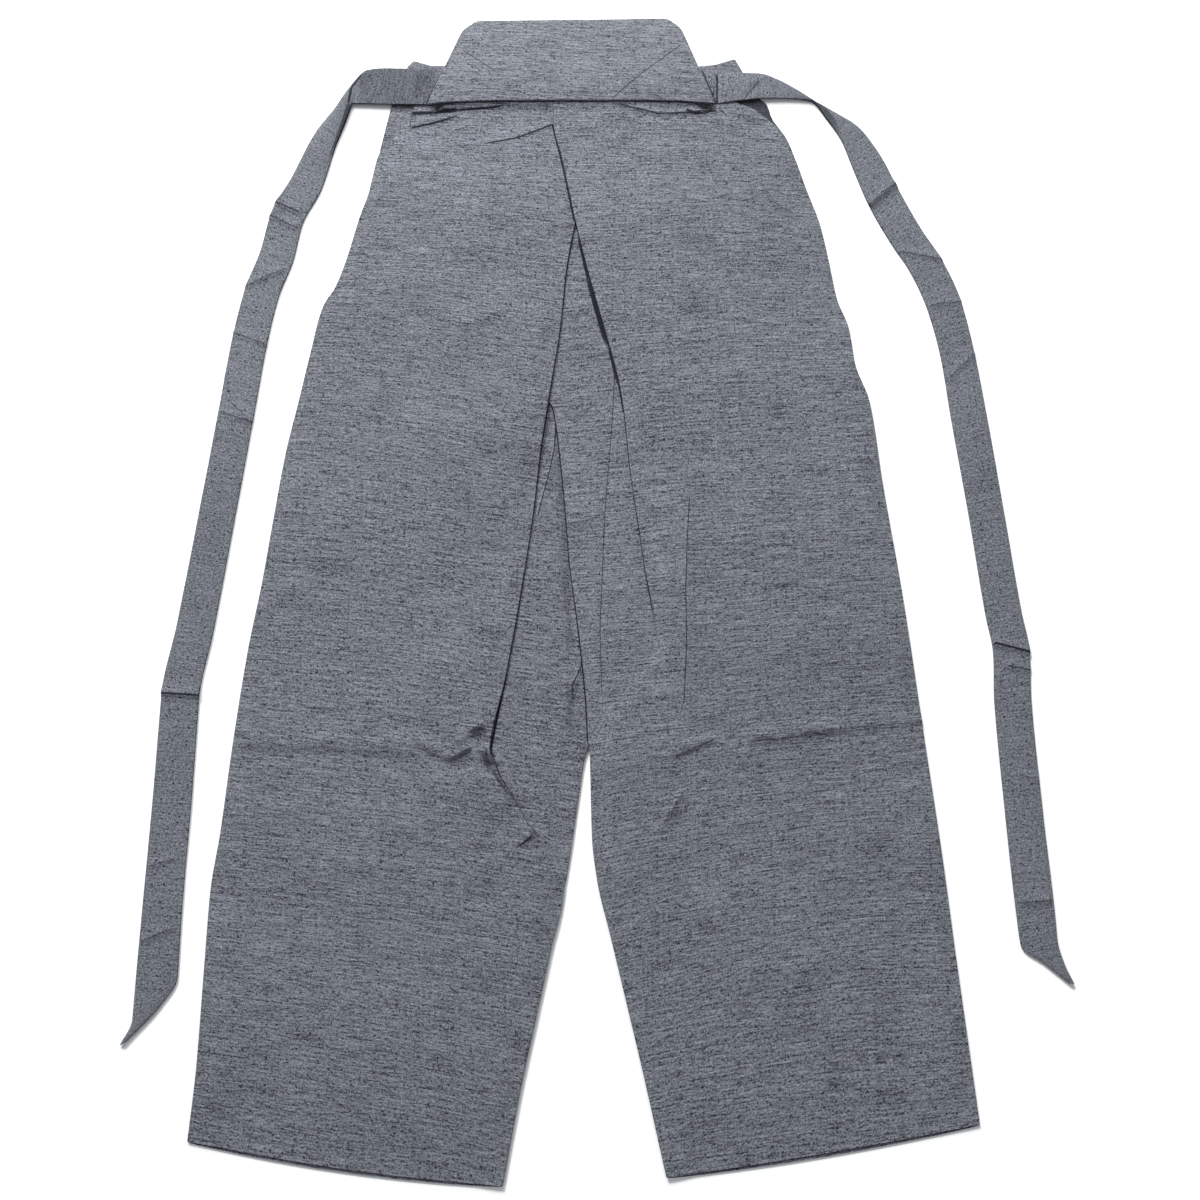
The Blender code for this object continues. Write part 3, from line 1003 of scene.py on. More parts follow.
@dataclass(frozen=True)
class BackPanel:
    """The back of one leg, from under the board to the hem, with a free folded edge at the vent."""

    node: str
    leg: Leg
    vent: Profile
    level: Profile
    lip: Profile
    fold: Profile
    gap: Profile
    creases: tuple[Crease, ...]
    lines: tuple[Line, ...]
    seed: int
    wave: float = 3.2 * MM
    cloth: float = 0.8 * MM

    def build(self) -> bpy.types.Object:
        """Build the panel.

        Returns:
            The closed sheet.
        """
        hem = self.leg.hem
        rows = row_heights(
            (
                Zone(WAIST, 372, 1.3),
                Zone(372, -130, 3.6),
                Zone(-130, -262, 1.6),
                Zone(-262, hem + 2, 4.6),
                Zone(hem + 2, hem, 0.7),
            )
        )
        y_side = rows[:, None]
        y_inner = y_side - self.leg.drop_at(y_side)
        x_side, x_inner = self.leg.back_side(y_side), self.vent(y_inner)
        toward = np.sign(x_inner - x_side)
        reach = self.fold(y_inner)
        body = self._shares()[None, :]
        start, stop = x_side + toward * 0.9 * MM, x_inner - toward * reach
        x = start + (stop - start) * body
        y = y_side + (y_inner - y_side) * body
        y = y - self.leg.sag * MM * np.sin(math.pi * body) * self.leg.sagging(y_side)
        base = FRONT_TOP + (self.level(y_inner) - FRONT_TOP) * smooth(body / 0.55)
        base = base - 0.5 * MM * smooth((hem * MM + 60 * MM - y_side) / (60 * MM))
        z = base + self.cloth / 2 + 2 * reach * smooth((body - 0.9) / 0.1)
        lift, dark = crease_heights(self.creases, x, y)
        above_hem = smooth((y_side - hem * MM) / (45 * MM))
        calm = smooth(body / 0.06) * smooth((1 - body) / 0.07) * (0.12 + 0.88 * above_hem)
        wave = undulation(x, y, self.wave, self.seed)
        wave = wave + undulation(x, y, self.wave * 0.3, self.seed + 1, 0.02, 0.05)
        calm = calm * (1 - 0.7 * smooth((y_side - 360 * MM) / (40 * MM)))
        z = z + lift + wave * calm
        from_edge = np.abs(x - x_inner)
        z = z + self.lip(y_inner) * np.exp(-((from_edge / (14 * MM)) ** 2))
        z = np.maximum(z, base + self.cloth / 2)
        under = smooth((y - board_low(x) * MM + 9 * MM) / (9 * MM))
        within = smooth((x + 152 * MM) / (12 * MM)) * smooth((98 * MM - x) / (12 * MM))
        z = z * (1 - under) + (2.3 * MM + 5.6 * MM * within) * under
        middle = np.stack([x, np.broadcast_to(y, x.shape), z], axis=-1)
        outer = self._outer_turn(middle, toward)
        inner = self._inner_turn(middle, toward, reach)
        middle = np.concatenate([outer, middle, inner], axis=1)
        chart = self.leg.chart(middle[..., 0], middle[..., 1])
        slope = np.cumsum(np.hypot(*np.diff(middle[..., ::2], axis=1).transpose(2, 0, 1)), axis=1)
        walked = np.concatenate([np.zeros((len(rows), 1)), slope], axis=1)
        chart[..., 0] = self.leg.chart_origin[0] + x_side + toward * walked
        thickness = np.full(middle.shape[:2], self.cloth)
        thin = np.clip(reach * 1.5, 0.12 * MM, self.cloth)
        ease = smooth(np.linspace(-1.0, 1.0, 10))[None, :]
        thickness[:, -inner.shape[1] :] = thin
        thickness[:, -inner.shape[1] - 10 : -inner.shape[1]] = self.cloth + (thin - self.cloth) * ease
        # Painted shade: the creases' soft shadows on the body, and on the turned vent edge's underside as
        # deep as gap sets it
        painted_dark = self.gap(y_inner) / MM
        painted_shade = np.zeros(middle.shape[:2])
        painted_shade[:, outer.shape[1] : -inner.shape[1]] = dark
        painted_shade[:, -inner.shape[1] :] = painted_dark * np.array([0.0, 0.3, 0.8, 1.0, 1.0, 1.0, 1.0, 1.0])
        lines = self.lines + crease_shadow_lines(self.creases)
        return cloth_sheet("visual_" + self.node, middle, thickness, chart, painted_shade, lines)

    def _shares(self) -> Array:
        """Space the columns closely near the vent, where the fine creases are.

        Returns:
            Each column's share of the way from the side to the vent.
        """
        wide = np.linspace(0.0, 0.70, 52, endpoint=False)
        return np.concatenate([wide, np.linspace(0.70, 1.0, 46)])

    def _outer_turn(self, middle: Array, toward: Array) -> Array:
        """Turn the side edge down onto the front.

        Args:
            middle: The panel's middle surface.
            toward: Which way the panel runs from its side, +1 or -1, for each row.

        Returns:
            The columns to put before it.
        """
        first = middle[:, :1]
        radius = np.full_like(toward, 0.75 * MM)
        hidden = first + np.concatenate([toward * 3.0 * MM, 0 * toward, -2 * radius], axis=1)[:, None]
        turn = turned_down(first, -toward, radius, (180.0, 150.0, 115.0, 80.0, 50.0, 25.0))
        return np.concatenate([hidden, turn], axis=1)

    def _inner_turn(self, middle: Array, toward: Array, reach: Array) -> Array:
        """Turn the vent's edge under itself.

        Args:
            middle: The panel's middle surface.
            toward: Which way the panel runs from its side, +1 or -1, for each row.
            reach: The turn's radius for each row.

        Returns:
            The columns to put after it.
        """
        last = middle[:, -1:]
        columns = [turned_down(last, toward, reach, (25.0, 50.0, 80.0, 115.0, 150.0, 180.0))]
        under = np.minimum(7.0 * MM, reach * 9.0)
        for share in (0.4, 1.0):
            shift = np.concatenate([-toward * under * share, 0 * toward, -2 * reach], axis=1)
            columns.append(last + shift[:, None])
        return np.concatenate(columns, axis=1)


# How far round each column of a gusset's turned edge is, in degrees
GUSSET_TURNS = (30.0, 60.0, 90.0, 125.0, 160.0)


@dataclass(frozen=True)
class Gusset:
    """The insert between the legs, which shows inside the back vent."""

    node: str
    leg: Leg
    zones: tuple[Zone, ...]
    left: Callable[[Array], Array]
    right: Callable[[Array], Array]
    level: Callable[[Array], Array]
    turned_left: bool
    turned_right: bool
    creases: tuple[Crease, ...]
    lines: tuple[Line, ...]
    seed: int
    painted_dark: float = 0.9
    columns: int = 72
    cloth: float = 0.7 * MM

    def build(self) -> bpy.types.Object:
        """Build the gusset.

        Returns:
            The closed sheet.
        """
        y = row_heights(self.zones)[:, None]
        x_left, x_right = self.left(y), self.right(y)
        radius = 0.45 * MM
        start = x_left + (radius if self.turned_left else 0.0)
        stop = x_right - (radius if self.turned_right else 0.0)
        share = np.linspace(0.0, 1.0, self.columns)[None, :]
        x = start + (stop - start) * share
        y_all = np.broadcast_to(y, x.shape)
        base = np.broadcast_to(self.level(y), x.shape) + self.cloth / 2 + 0.1 * MM
        lift, dark = crease_heights(self.creases, x, y_all)
        z = base + lift + undulation(x, y_all, 0.5 * MM, self.seed, 0.03, 0.1)
        z = np.maximum(z, base - 0.5 * MM)
        middle = np.stack([x, y_all, z], axis=-1)
        # Painted shade on the turned edge, darkest where it goes under
        turned = np.broadcast_to(np.array([[0.1, 0.5, 0.9, 1.0, 1.0]]), (len(y), 5)) * self.painted_dark
        toward, round_off = np.ones_like(y), np.full_like(y, radius)
        if self.turned_left:
            turn = turned_down(middle[:, :1], -toward, round_off, GUSSET_TURNS)
            middle = np.concatenate([turn[:, ::-1], middle], axis=1)
            dark = np.concatenate([turned[:, ::-1], dark], axis=1)
        if self.turned_right:
            turn = turned_down(middle[:, -1:], toward, round_off, GUSSET_TURNS)
            middle = np.concatenate([middle, turn], axis=1)
            dark = np.concatenate([dark, turned * 0.5], axis=1)
        chart = self.leg.chart(middle[..., 0], middle[..., 1])
        lines = self.lines + crease_shadow_lines(self.creases)
        return cloth_sheet("visual_" + self.node, middle, self.cloth * 0.8, chart, dark, lines)


@dataclass(frozen=True)
class FrontPanel:
    """The front of one leg, which lies under everything else."""

    node: str
    leg: Leg
    toward: float
    hip_shade: float
    seed: int
    peek: float = 2.0
    columns: int = 60
    cloth: float = 0.8 * MM

    def build(self) -> bpy.types.Object:
        """Build the panel.

        Returns:
            The closed sheet.
        """
        hem = self.leg.hem - 0.6
        y_side = row_heights((Zone(WAIST, hem + 2, 6.0), Zone(hem + 2, hem, 0.7)))[:, None]
        y_inner = y_side - self.leg.drop_at(y_side)
        centre = (-26 + (WAIST * MM - y_inner) / (604 * MM) * 17) * MM
        x_inner = np.where(y_inner > CROTCH, centre, self.leg.inner(y_inner)) - self.toward * 0.6 * MM
        x_side = self.leg.side(y_side) + self.toward * 0.5 * MM
        share = np.linspace(0.0, 1.0, self.columns)[None, :]
        x = x_side + (x_inner - x_side) * share
        y = y_side + (y_inner - y_side) * share
        belly = np.sin(math.pi * share)
        y = y - (self.leg.sag * belly + self.peek * np.sqrt(belly)) * MM * self.leg.sagging(y_side)
        z = np.full_like(x, 0.1 * MM + self.cloth / 2)
        z = z + undulation(x, y, 0.25 * MM, self.seed)
        middle = np.stack([x, y, z], axis=-1)
        # Painted shade over the top of the panel, where it lies under the board and the ties
        painted_dark = self.hip_shade * smooth((y - 385 * MM) / (12 * MM))
        # A painted shadow line on the front along the back panel's hem, which lies over it
        hem_shadow_line = Line(self.leg.hem_path(), 1.6, 0.85, 1.0, 1.0)
        chart = self.leg.chart(x, y) + FRONT_CHART_SHIFT
        return cloth_sheet("visual_" + self.node, middle, self.cloth, chart, painted_dark, (hem_shadow_line,))


@dataclass(frozen=True)
class BackBoard:
    """The stiff cloth-covered board at the back of the waist."""

    corner_radius: float = 15 * MM
    middle_width: float = 230 * MM
    height: float = 86 * MM
    rows: int = 64
    columns: int = 150
    seams: tuple[Crease, ...] = (
        Crease(BOARD_SEAM_LEFT, -0.15, 1.5, 1.5, 12, 26, 0.75, 0.9),
        Crease(BOARD_SEAM_RIGHT, -0.15, 1.5, 1.5, 8, 8, 0.85, 0.9),
    )

    def build(self) -> bpy.types.Object:
        """Build the board.

        Returns:
            A closed, softly edged plate.
        """
        (x0, _), (x1, _), (x2, y2), (x3, y3) = BOARD_CORNERS
        u = (0.5 - 0.5 * np.cos(np.linspace(0.0, math.pi, self.columns)))[None, :]
        v = (0.5 - 0.5 * np.cos(np.linspace(0.0, math.pi, self.rows)))[:, None]
        low_x = x0 + (x1 - x0) * u
        low_y = board_low(low_x * MM)
        high_x, high_y = x3 + (x2 - x3) * u, y3 + (y2 - y3) * u
        x = (low_x + (high_x - low_x) * v) * MM
        y = (low_y + (high_y - low_y) * v) * MM
        x, y, edge = self._rounded(x, y, u, v)
        half = board_half(edge)
        middle = BOARD_BOTTOM + BOARD_THICKNESS / 2 + lean(y)
        wave = undulation(x, y, 0.2 * MM, 5) - 0.2 * MM
        wave = wave + crease_heights(self.seams, x, y)[0]
        droop = BOARD_DROOP * (1 - smooth(v / 0.15))
        upper = np.stack([x, y, middle + half - droop + wave * smooth(edge / (8 * MM))], axis=-1)
        lower = np.stack([x, y, middle - half * 0.85 - 0.02 * MM], axis=-1)
        chart = np.stack([x + 5.1, y + (x + 0.03) * 0.015 + 2.2], axis=-1)
        return body_between("visual_back_board", upper, lower, chart, None, crease_shadow_lines(self.seams))

    def _rounded(self, x: Array, y: Array, u: Array, v: Array) -> tuple[Array, Array, Array]:
        """Pull the two upper corners in to their radius and measure the distance to the outline.

        Args:
            x: The square-cornered board's points.
            y: Their heights.
            u: Their share from the left edge to the right one.
            v: Their share from the lower edge to the upper one.

        Returns:
            The points with rounded corners, and each one's distance from the outline.
        """
        radius = self.corner_radius
        left, right = u * self.middle_width, (1 - u) * self.middle_width
        top, low = (1 - v) * self.height, v * self.height
        side = np.minimum(left, right)
        inside = (side < radius) & (top < radius)
        cx, cy = radius - side, radius - top
        square = np.maximum(cx, cy)
        length = np.hypot(cx, cy)
        ratio = np.where(inside & (length > 0), 1 - square / np.maximum(length, 1e-9), 0.0)
        sign = np.where(left < right, 1.0, -1.0)
        pull_x = sign * cx * ratio * inside
        pull_y = -cy * ratio * inside
        edge = np.minimum(np.minimum(side, top), low)
        return x + pull_x, y + pull_y, edge


@dataclass(frozen=True)
class Tie:
    """A long flat tie, a strip folded in half lengthwise and sewn to the board at its root."""

    node: str
    sections: tuple[Section, ...]
    creases: tuple[Crease, ...]
    lines: tuple[Line, ...]
    chart_origin: tuple[float, float]
    seed: int
    across: int = 19
    spacing: float = 2.2 * MM
    cloth: float = 0.45 * MM

    def build(self) -> bpy.types.Object:
        """Build the tie.

        Returns:
            The closed folded sheet.
        """
        table = np.array(self.sections, float)
        angle = np.radians(table[:, 3])
        run = np.stack([np.cos(angle), np.sin(angle)], axis=1) * table[:, 2:3] / 2
        seam, turned = table[:, :2] + run, table[:, :2] - run
        steps = np.hypot(*np.diff(table[:, :2], axis=0).T)
        walked = np.concatenate([[0.0], np.cumsum(steps)])
        at = np.arange(0.0, walked[-1], self.spacing / MM)
        at = np.append(at, walked[-1])
        columns = np.concatenate([seam, turned, table[:, 4:6]], axis=1)
        fitted = [Profile(list(zip(walked[::-1], column[::-1])))(at * MM) for column in columns.T]
        sx, sy, tx, ty, bottom, thickness = fitted
        share = np.linspace(0.0, 1.0, self.across)
        turn = np.radians([20.0, 55.0, 90.0, 125.0, 160.0])
        low = [(s, 0.0, 0.0) for s in share]
        arc = [(1.0, math.sin(t), (1 - math.cos(t)) / 2) for t in turn]
        high = [(s, 0.0, 1.0) for s in share[::-1]]
        loop = np.array(low + arc + high)
        width = np.hypot(tx - sx, ty - sy)
        rise = np.maximum(thickness - self.cloth, 0.3 * MM)
        bulge = rise / 2 * loop[:, 1][:, None]
        part = loop[:, 0][:, None] + np.where(loop[:, 1][:, None] > 0, bulge / np.maximum(width, 1e-6), 0.0)
        inset = 1.0 - rise / 2 / np.maximum(width, 1e-6)
        part = part * inset
        x, y = (sx + (tx - sx) * part).T, (sy + (ty - sy) * part).T
        crease, dark = crease_heights(self.creases, x, y)
        soft = 1 - 0.35 * np.abs(2 * loop[:, 0] - 1) ** 3
        z = bottom[:, None] + self.cloth / 2 + rise[:, None] * loop[:, 2][None, :] * soft[None, :]
        z = z + crease * (0.15 + 0.85 * loop[:, 2][None, :])
        z = z + undulation(x, y, 0.5 * MM, self.seed, 0.03, 0.09) * loop[:, 2][None, :]
        middle = np.stack([x, y, z], axis=-1)
        girth = np.cumsum(np.concatenate([[0.0], np.abs(np.diff(loop[:, 0] + loop[:, 1] * 0.05))]))
        chart = np.stack(
            [
                np.broadcast_to(girth[None, :] * 31 * MM + self.chart_origin[0], x.shape),
                np.broadcast_to(at[:, None] * MM + self.chart_origin[1], x.shape),
            ],
            axis=-1,
        )
        lines = self.lines + crease_shadow_lines(self.creases)
        return cloth_sheet("visual_" + self.node, middle, self.cloth, chart, dark, lines)

    def length(self) -> float:
        """How long the strip is, in metres."""
        table = np.array(self.sections, float)[:, :2] * MM
        return float(np.hypot(*np.diff(table, axis=0).T).sum())


@dataclass(frozen=True)
class FoldedTie:
    """A front tie folded up flat under the board."""

    node: str
    start: float
    stop: float
    middle: float = 442 * MM
    width: float = 24 * MM
    bottom: float = 2.8 * MM
    layers: int = 3
    cloth: float = 0.4 * MM

    def build(self) -> bpy.types.Object:
        """Build the folded strip.

        Returns:
            The closed sheet.
        """
        radius = 0.42 * MM
        path: list[tuple[float, float]] = []
        for layer in range(self.layers):
            z = self.bottom + self.cloth / 2 + layer * 2 * radius
            a, b = self.start + 1.5 * MM, self.stop - 1.5 * MM
            xs = np.linspace(a, b, 24) if layer % 2 == 0 else np.linspace(b, a, 24)
            path += [(float(x), z) for x in xs]
            if layer < self.layers - 1:
                side = 1.0 if layer % 2 == 0 else -1.0
                for turn in np.radians([30.0, 70.0, 110.0, 150.0]):
                    reach = side * radius * math.sin(turn)
                    path.append((float(xs[-1]) + reach, z + radius * (1 - math.cos(turn))))
        line = np.array(path)
        share = np.linspace(-0.5, 0.5, 9)
        x = np.broadcast_to(line[:, :1], (len(line), 9))
        z = np.broadcast_to(line[:, 1:], (len(line), 9))
        y = np.broadcast_to(self.middle + share * self.width, (len(line), 9))
        walked = np.concatenate([[0.0], np.cumsum(np.hypot(*np.diff(line, axis=0).T))])
        chart = np.stack([y + 1.3, np.broadcast_to(walked[:, None] + self.start + 4.0, x.shape)], axis=-1)
        return cloth_sheet("visual_" + self.node, np.stack([x, y, z], axis=-1), self.cloth, chart)


@dataclass(frozen=True)
class Waistband:
    """The band along the top of the front, whose corners stand above the back ties."""

    rows: tuple[tuple[float, float, float, float], ...] = (
        (-178, 455, -188, 428.5),
        (-173, 461, -176, 428.5),
        (-157, 456, -158, 428.5),
        (-120, 455, -120, 428.5),
        (90, 455, 90, 428.5),
        (107, 457, 107, 428.5),
        (125, 463, 127, 428.5),
        (131, 451, 141, 428.5),
    )
    cloth: float = 0.6 * MM

    def build(self) -> bpy.types.Object:
        """Build the band.

        Returns:
            The closed folded sheet.
        """
        table = np.array(self.rows, float) * MM
        at = np.linspace(table[0, 2], table[-1, 2], 150)
        top_x, top_y, low_y = (np.interp(at, table[:, 2], table[:, k]) for k in (0, 1, 3))
        share = np.linspace(0.0, 1.0, 12)
        loop = [(s, 0.35) for s in share] + [(1.015, 0.8), (1.02, 1.1), (1.015, 1.4)]
        loop += [(s, 1.9) for s in share[::-1]]
        part = np.array(loop)
        x = at[:, None] + (top_x - at)[:, None] * part[None, :, 0]
        y = low_y[:, None] + (top_y - low_y - 0.6 * MM)[:, None] * part[None, :, 0]
        z = np.broadcast_to(part[None, :, 1] * MM, x.shape)
        chart = np.stack([x + 3.3, y + z * 20 + 5.5], axis=-1)
        return cloth_sheet("visual_front_waistband", np.stack([x, y, z], axis=-1), self.cloth, chart)


# --------------------------------------------------------------------------------------------------
# Creases, painted shadow lines, ties and stitches, in millimetres

LEFT_CREASES = (
    Crease(((-173, 406.5), (-147, 408), (-115, 409.5), (-86, 412)), 1.6, 3, 2.0, 1, 12),
    Crease(((-171, 396.5), (-133, 401), (-115, 403.5)), 1.0, 4, 4, 2, 8),
    Crease(((-173, 389), (-150, 394.5), (-126, 402)), 0.9, 5, 1.4, 2, 10, 0.9, 1.2),
    Crease(((-173.5, 404), (-173.2, 389)), 0.3, 2, 2, 1, 1, 0.6, 1.2),
    Crease(((-115, 371), (-100, 372), (-89, 374), (-75, 377), (-43, 391.5)), 1.0, 6, 1.4, 24, 1, 1.0, 1.3),
    Crease(((-207, 320), (-198, 311)), 2.0, 5, 3, 3, 3),
    Crease(((-128, 184), (-112, 192), (-98, 197), (-82, 208)), 1.0, 4, 2.0, 14, 8, 0.35, 0.8),
    Crease(((-176, 352), (-130, 310), (-92, 250)), 1.8, 26, 16, 30, 30),
    Crease(((-200, 250), (-150, 225), (-100, 170)), 1.6, 24, 16, 30, 30),
    Crease(((-150, 120), (-110, 60), (-80, -10)), 1.5, 30, 18, 40, 40),
    Crease(((-296, -176), (-243, -176), (-194, -178), (-146, -182)), 1.8, 14, 5, 6, 12, 0.12, 3),
    Crease(((-152, -169), (-134, -180), (-119, -186)), 2.4, 8, 3, 8, 3),
    Crease(((-122, -189), (-112, -184), (-103, -178)), 1.8, 5, 3, 3, 4, 0.25, 4.5),
    Crease(((-106, -166), (-100, -163), (-92, -162)), 1.6, 4, 4, 3, 3, 0.2, 3.5),
    Crease(((-116, -175), (-106, -167), (-96, -158)), 2.4, 6, 4, 4, 4),
    Crease(((-93, -176), (-88, -186), (-80, -202), (-71, -215), (-62, -230), (-57, -240), (-50, -246)),
           2.4, 2.6, 9, 1, 6, 0.6, 0.9),
    Crease(((-95, -182), (-89, -191), (-83, -201)), -1.0, 3, 3, 3, 6),
    Crease(((-69, -258), (-60, -253.5), (-53, -247)), 1.2, 5, 1.4, 8, 2, 1.0, 1.2),
    Crease(((-58, -238), (-53, -242), (-50, -247)), 0.8, 2, 3, 3, 2, 0.6, 0.8),
    Crease(((-50, -235), (-43, -239), (-36, -249)), 1.3, 2.0, 4, 5, 4, 0.7, 0.9),
    Crease(((-105, -193), (-96, -214), (-80, -236)), 1.6, 12, 12, 12, 12),
)
LEFT_LINES = (
    board_edge_shadow(-152, -40),
    Line(((-192, 411.8), (-175, 411.8), (-171, 408.6)), 3.4, 1.0, 1, 1),
    Line(((-173, 404.8), (-150, 405.2)), 4.6, 1.0, 1, 5),
    Line(((-153, 405.1), (-128, 406.4)), 3.6, 1.0, 4, 5),
    Line(((-132, 406.2), (-112, 407.4), (-98, 408.6), (-84, 410.8)), 1.9, 1.0, 4, 10),
    Line(((-172.5, 402.5), (-171.5, 396)), 3.0, 0.4, 1, 4),
    Line(((-173, 388.5), (-150, 394), (-132, 399.8)), 1.8, 1.0, 1, 10),
    Line(((-43.4, 428), (-43, 410), (-42.4, 393)), 1.0, 0.5, 1, 1),
    Line(((-43.5, 392.5), (-33.6, 348), (-22.6, 291)), 2.2, 1.0, 1, 1),
    Line(((-122, -189), (-112, -184.5), (-102, -178)), 4.6, 0.78, 4, 3),
    Line(((-107, -167), (-99, -163), (-91, -163)), 3.6, 0.7, 4, 3),
    Line(((-93.5, -181.5), (-90.5, -190), (-86, -198)), 6.4, 0.8, 3, 8),
    Line(((-88, -194), (-80, -206), (-70, -220)), 2.4, 0.7, 4, 14),
    Line(((-150, -176), (-136, -183), (-122, -189)), 2.2, 0.35, 14, 3),
)

RIGHT_CREASES = (
    Crease(((14, 412), (34, 406.5), (53, 401.5), (84, 403.5), (104, 407.5)), 1.6, 5, 1.4, 6, 4, 0.85, 1.1),
    Crease(((78, 407), (84, 403.5), (90, 402.6), (98, 404.5), (106, 407.5)), 0.8, 3, 1.4, 1, 1, 1.0, 1.6),
    Crease(((30, 408), (44, 399)), 0.8, 5, 3, 5, 5, 0.5, 0.8),
    # No lift: only painted shade below the tie at the hip
    Crease(((120, 404), (134, 400), (150, 390)), 0.0, 5, 5, 5, 8, 0.34, 4.5),
    Crease(((110, 408.5), (115, 403.5)), 0.4, 3, 2, 1, 1, 1.0, 1.9),
    Crease(((137, 339), (147, 325), (156, 312), (170, 301)), 2.2, 8, 3.0, 10, 6, 0.3, 0.8),
    Crease(((60, 380), (100, 352), (140, 306)), 2.0, 24, 18, 30, 30),
    Crease(((30, 330), (90, 300), (150, 240)), 1.8, 22, 20, 30, 30),
    Crease(((40, 250), (100, 215), (170, 205)), 1.4, 26, 18, 40, 40),
    Crease(((59, -186), (76, -178), (94, -170.5)), 1.6, 6, 2.2, 5, 6, 0.72, 1.1),
    Crease(((62, -180), (78, -174.5), (90, -171)), 1.0, 4, 2.0, 5, 6, 0.3, 2.6),
    Crease(((119, -172.5), (141, -170), (172, -165.5), (200, -162.5)), 1.6, 8, 2.6, 6, 20, 0.2, 2.6),
    Crease(((164, -166.5), (199, -162.5), (245, -158), (263, -156)), 1.2, 8, 3, 20, 3, 0.5, 0.8),
    Crease(((68, -212), (60, -226), (46, -248)), 1.6, 6, 5, 6, 10),
    Crease(((76, 37), (73, -2), (71, -46), (71, -92), (68.5, -140), (61, -163)),
           1.0, 6, 1.8, 6, 34, 0.85, 0.8),
    Crease(((59, -160), (62, -172), (58, -186)), 1.0, 5, 4, 6, 6),
    Crease(((262, -190), (220, -196), (185, -206)), 0.4, 4, 2, 4, 30, 0.4, 0.7),
)

RIGHT_LINES = (
    board_edge_shadow(-34, 100),
    Line(((120, -173), (130, -171), (143, -170.5)), 3.0, 0.5, 6, 5),
    Line(((158, -168.5), (170, -166), (180, -164.5)), 3.6, 0.5, 6, 5),
    Line(((60, -184.5), (72, -181), (80, -177)), 3.0, 0.5, 6, 5),
    Line(((68, -212), (60, -226), (46, -248)), 3.6, 0.42, 10, 18),
)

GUSSET_LEFT_CREASES = (
    Crease(((-38, 106), (-39, 79), (-43, 58), (-50, 30), (-53, 16)), 0.7, 3, 1.6, 3, 3, 0.98, 0.9),
    Crease(((-33, 74), (-30, 20), (-27, -60), (-24, -100)), -0.8, 5, 7, 20, 10, 0.34, 4.5),
    Crease(((-23, -125), (-24, -156), (-23, -175)), -0.6, 5, 5, 6, 14, 0.36, 3.4),
    Crease(((-14.5, -108), (-18, -117), (-22.5, -126), (-23, -140)), 0.7, 2, 2, 1, 8, 0.95, 1.0),
)
GUSSET_LEFT_LINES = (
    Line(((-48, 128), (-40.6, 115), (-38.6, 104), (-33.6, 65), (-29.6, 24), (-25.6, -24), (-19.6, -68),
          (-14.8, -109), (-12, -137), (-9.8, -176)), 1.3, 0.98, 2, 4),
    Line(((-43.6, 126), (-50.6, 76), (-55.6, 26), (-67.4, -62), (-75.6, -112)), 0.9, 0.95, 1, 1),
    Line(((-76.0, -108), (-77.8, -123), (-83.4, -152), (-88.5, -180)), 2.2, 1.0, 12, 1),
    Line(((-88.5, -179), (-79.6, -202), (-70.6, -215), (-61.6, -230), (-54, -240)), 1.3, 0.85, 1, 48),
)

GUSSET_RIGHT_CREASES = (
    Crease(((-14, 161), (-4, 163), (10, 168)), 1.3, 3, 2.2, 5, 1, 0.45, 1.6),
    Crease(((13, 150), (11, 111), (8, 69), (5, 34), (3, -2), (2, -32), (0, -77), (1, -115), (2, -149)),
           -0.4, 1.6, 1.6, 2, 30, 0.75, 0.8),
    Crease(((-2, 280), (-7, 240), (-4, 210)), 0.8, 6, 4, 10, 10, 0.25, 5),
)
GUSSET_RIGHT_LINES = (
    Line(((-22.4, 300), (-22, 294), (-29.6, 245), (-34.6, 190), (-43.6, 126), (-48, 100)), 0.9, 0.95, 1, 1),
    Line(((-22.4, 296), (-9.8, 239), (3.2, 190), (15.2, 143), (20.4, 111)), 1.8, 1.0, 1, 1),
    Line(((-20.4, 284), (-11.0, 239), (2.0, 190), (9.6, 164), (15.6, 135)), 3.0, 1.0, 14, 10),
    Line(((-12.6, 246), (-5.6, 216), (1.4, 190), (7.8, 168)), 4.4, 1.0, 16, 16),
    Line(((20.6, 112), (25.6, 58), (32.6, 7), (37.6, -30), (46.6, -84)), 1.1, 0.95, 1, 30),
)

TIE_LEFT = (
    Section(-141.5, 431.6, 36, -92, 3.1, 1.6),
    Section(-152, 431.6, 37, -93, 3.1, 1.8),
    Section(-166, 431.8, 37, -94, 3.2, 2.0),
    Section(-182, 432.2, 37.5, -95, 3.2, 2.0),
    Section(-202, 432.7, 37.5, -96, 2.8, 2.2),
    Section(-221, 432.4, 37, -109, 2.2, 2.6),
    Section(-231, 419, 20, -80, 1.4, 4.6),
    Section(-238, 404, 17, -52, 0.8, 5.0),
    Section(-250, 380, 23, -33, 0.2, 3.6),
    Section(-266, 333, 30, -20, 0.1, 2.4),
    Section(-281, 300, 31, -24, 0.1, 2.4),
    Section(-288, 262, 31, -14, 0.1, 2.4),
    Section(-299, 226, 31, -12, 0.1, 2.4),
    Section(-307, 178, 31, -8, 0.1, 2.2),
    Section(-313, 122, 31, -9, 0.1, 2.2),
    Section(-323, 30, 31, -12, 0.1, 2.2),
    Section(-335.5, -80, 31, -11, 0.1, 2.2),
    Section(-343, -136, 31, -7, 0.1, 2.4),
    Section(-343, -210, 31, -4, 0.1, 2.2),
    Section(-344, -300, 31, -5, 0.1, 2.2),
    Section(-344, -355, 32, -2, 0.1, 2.2),
    Section(-350, -382, 22, 24, 0.1, 2.6),
    Section(-366, -405, 5, 30, 0.1, 2.8),
)
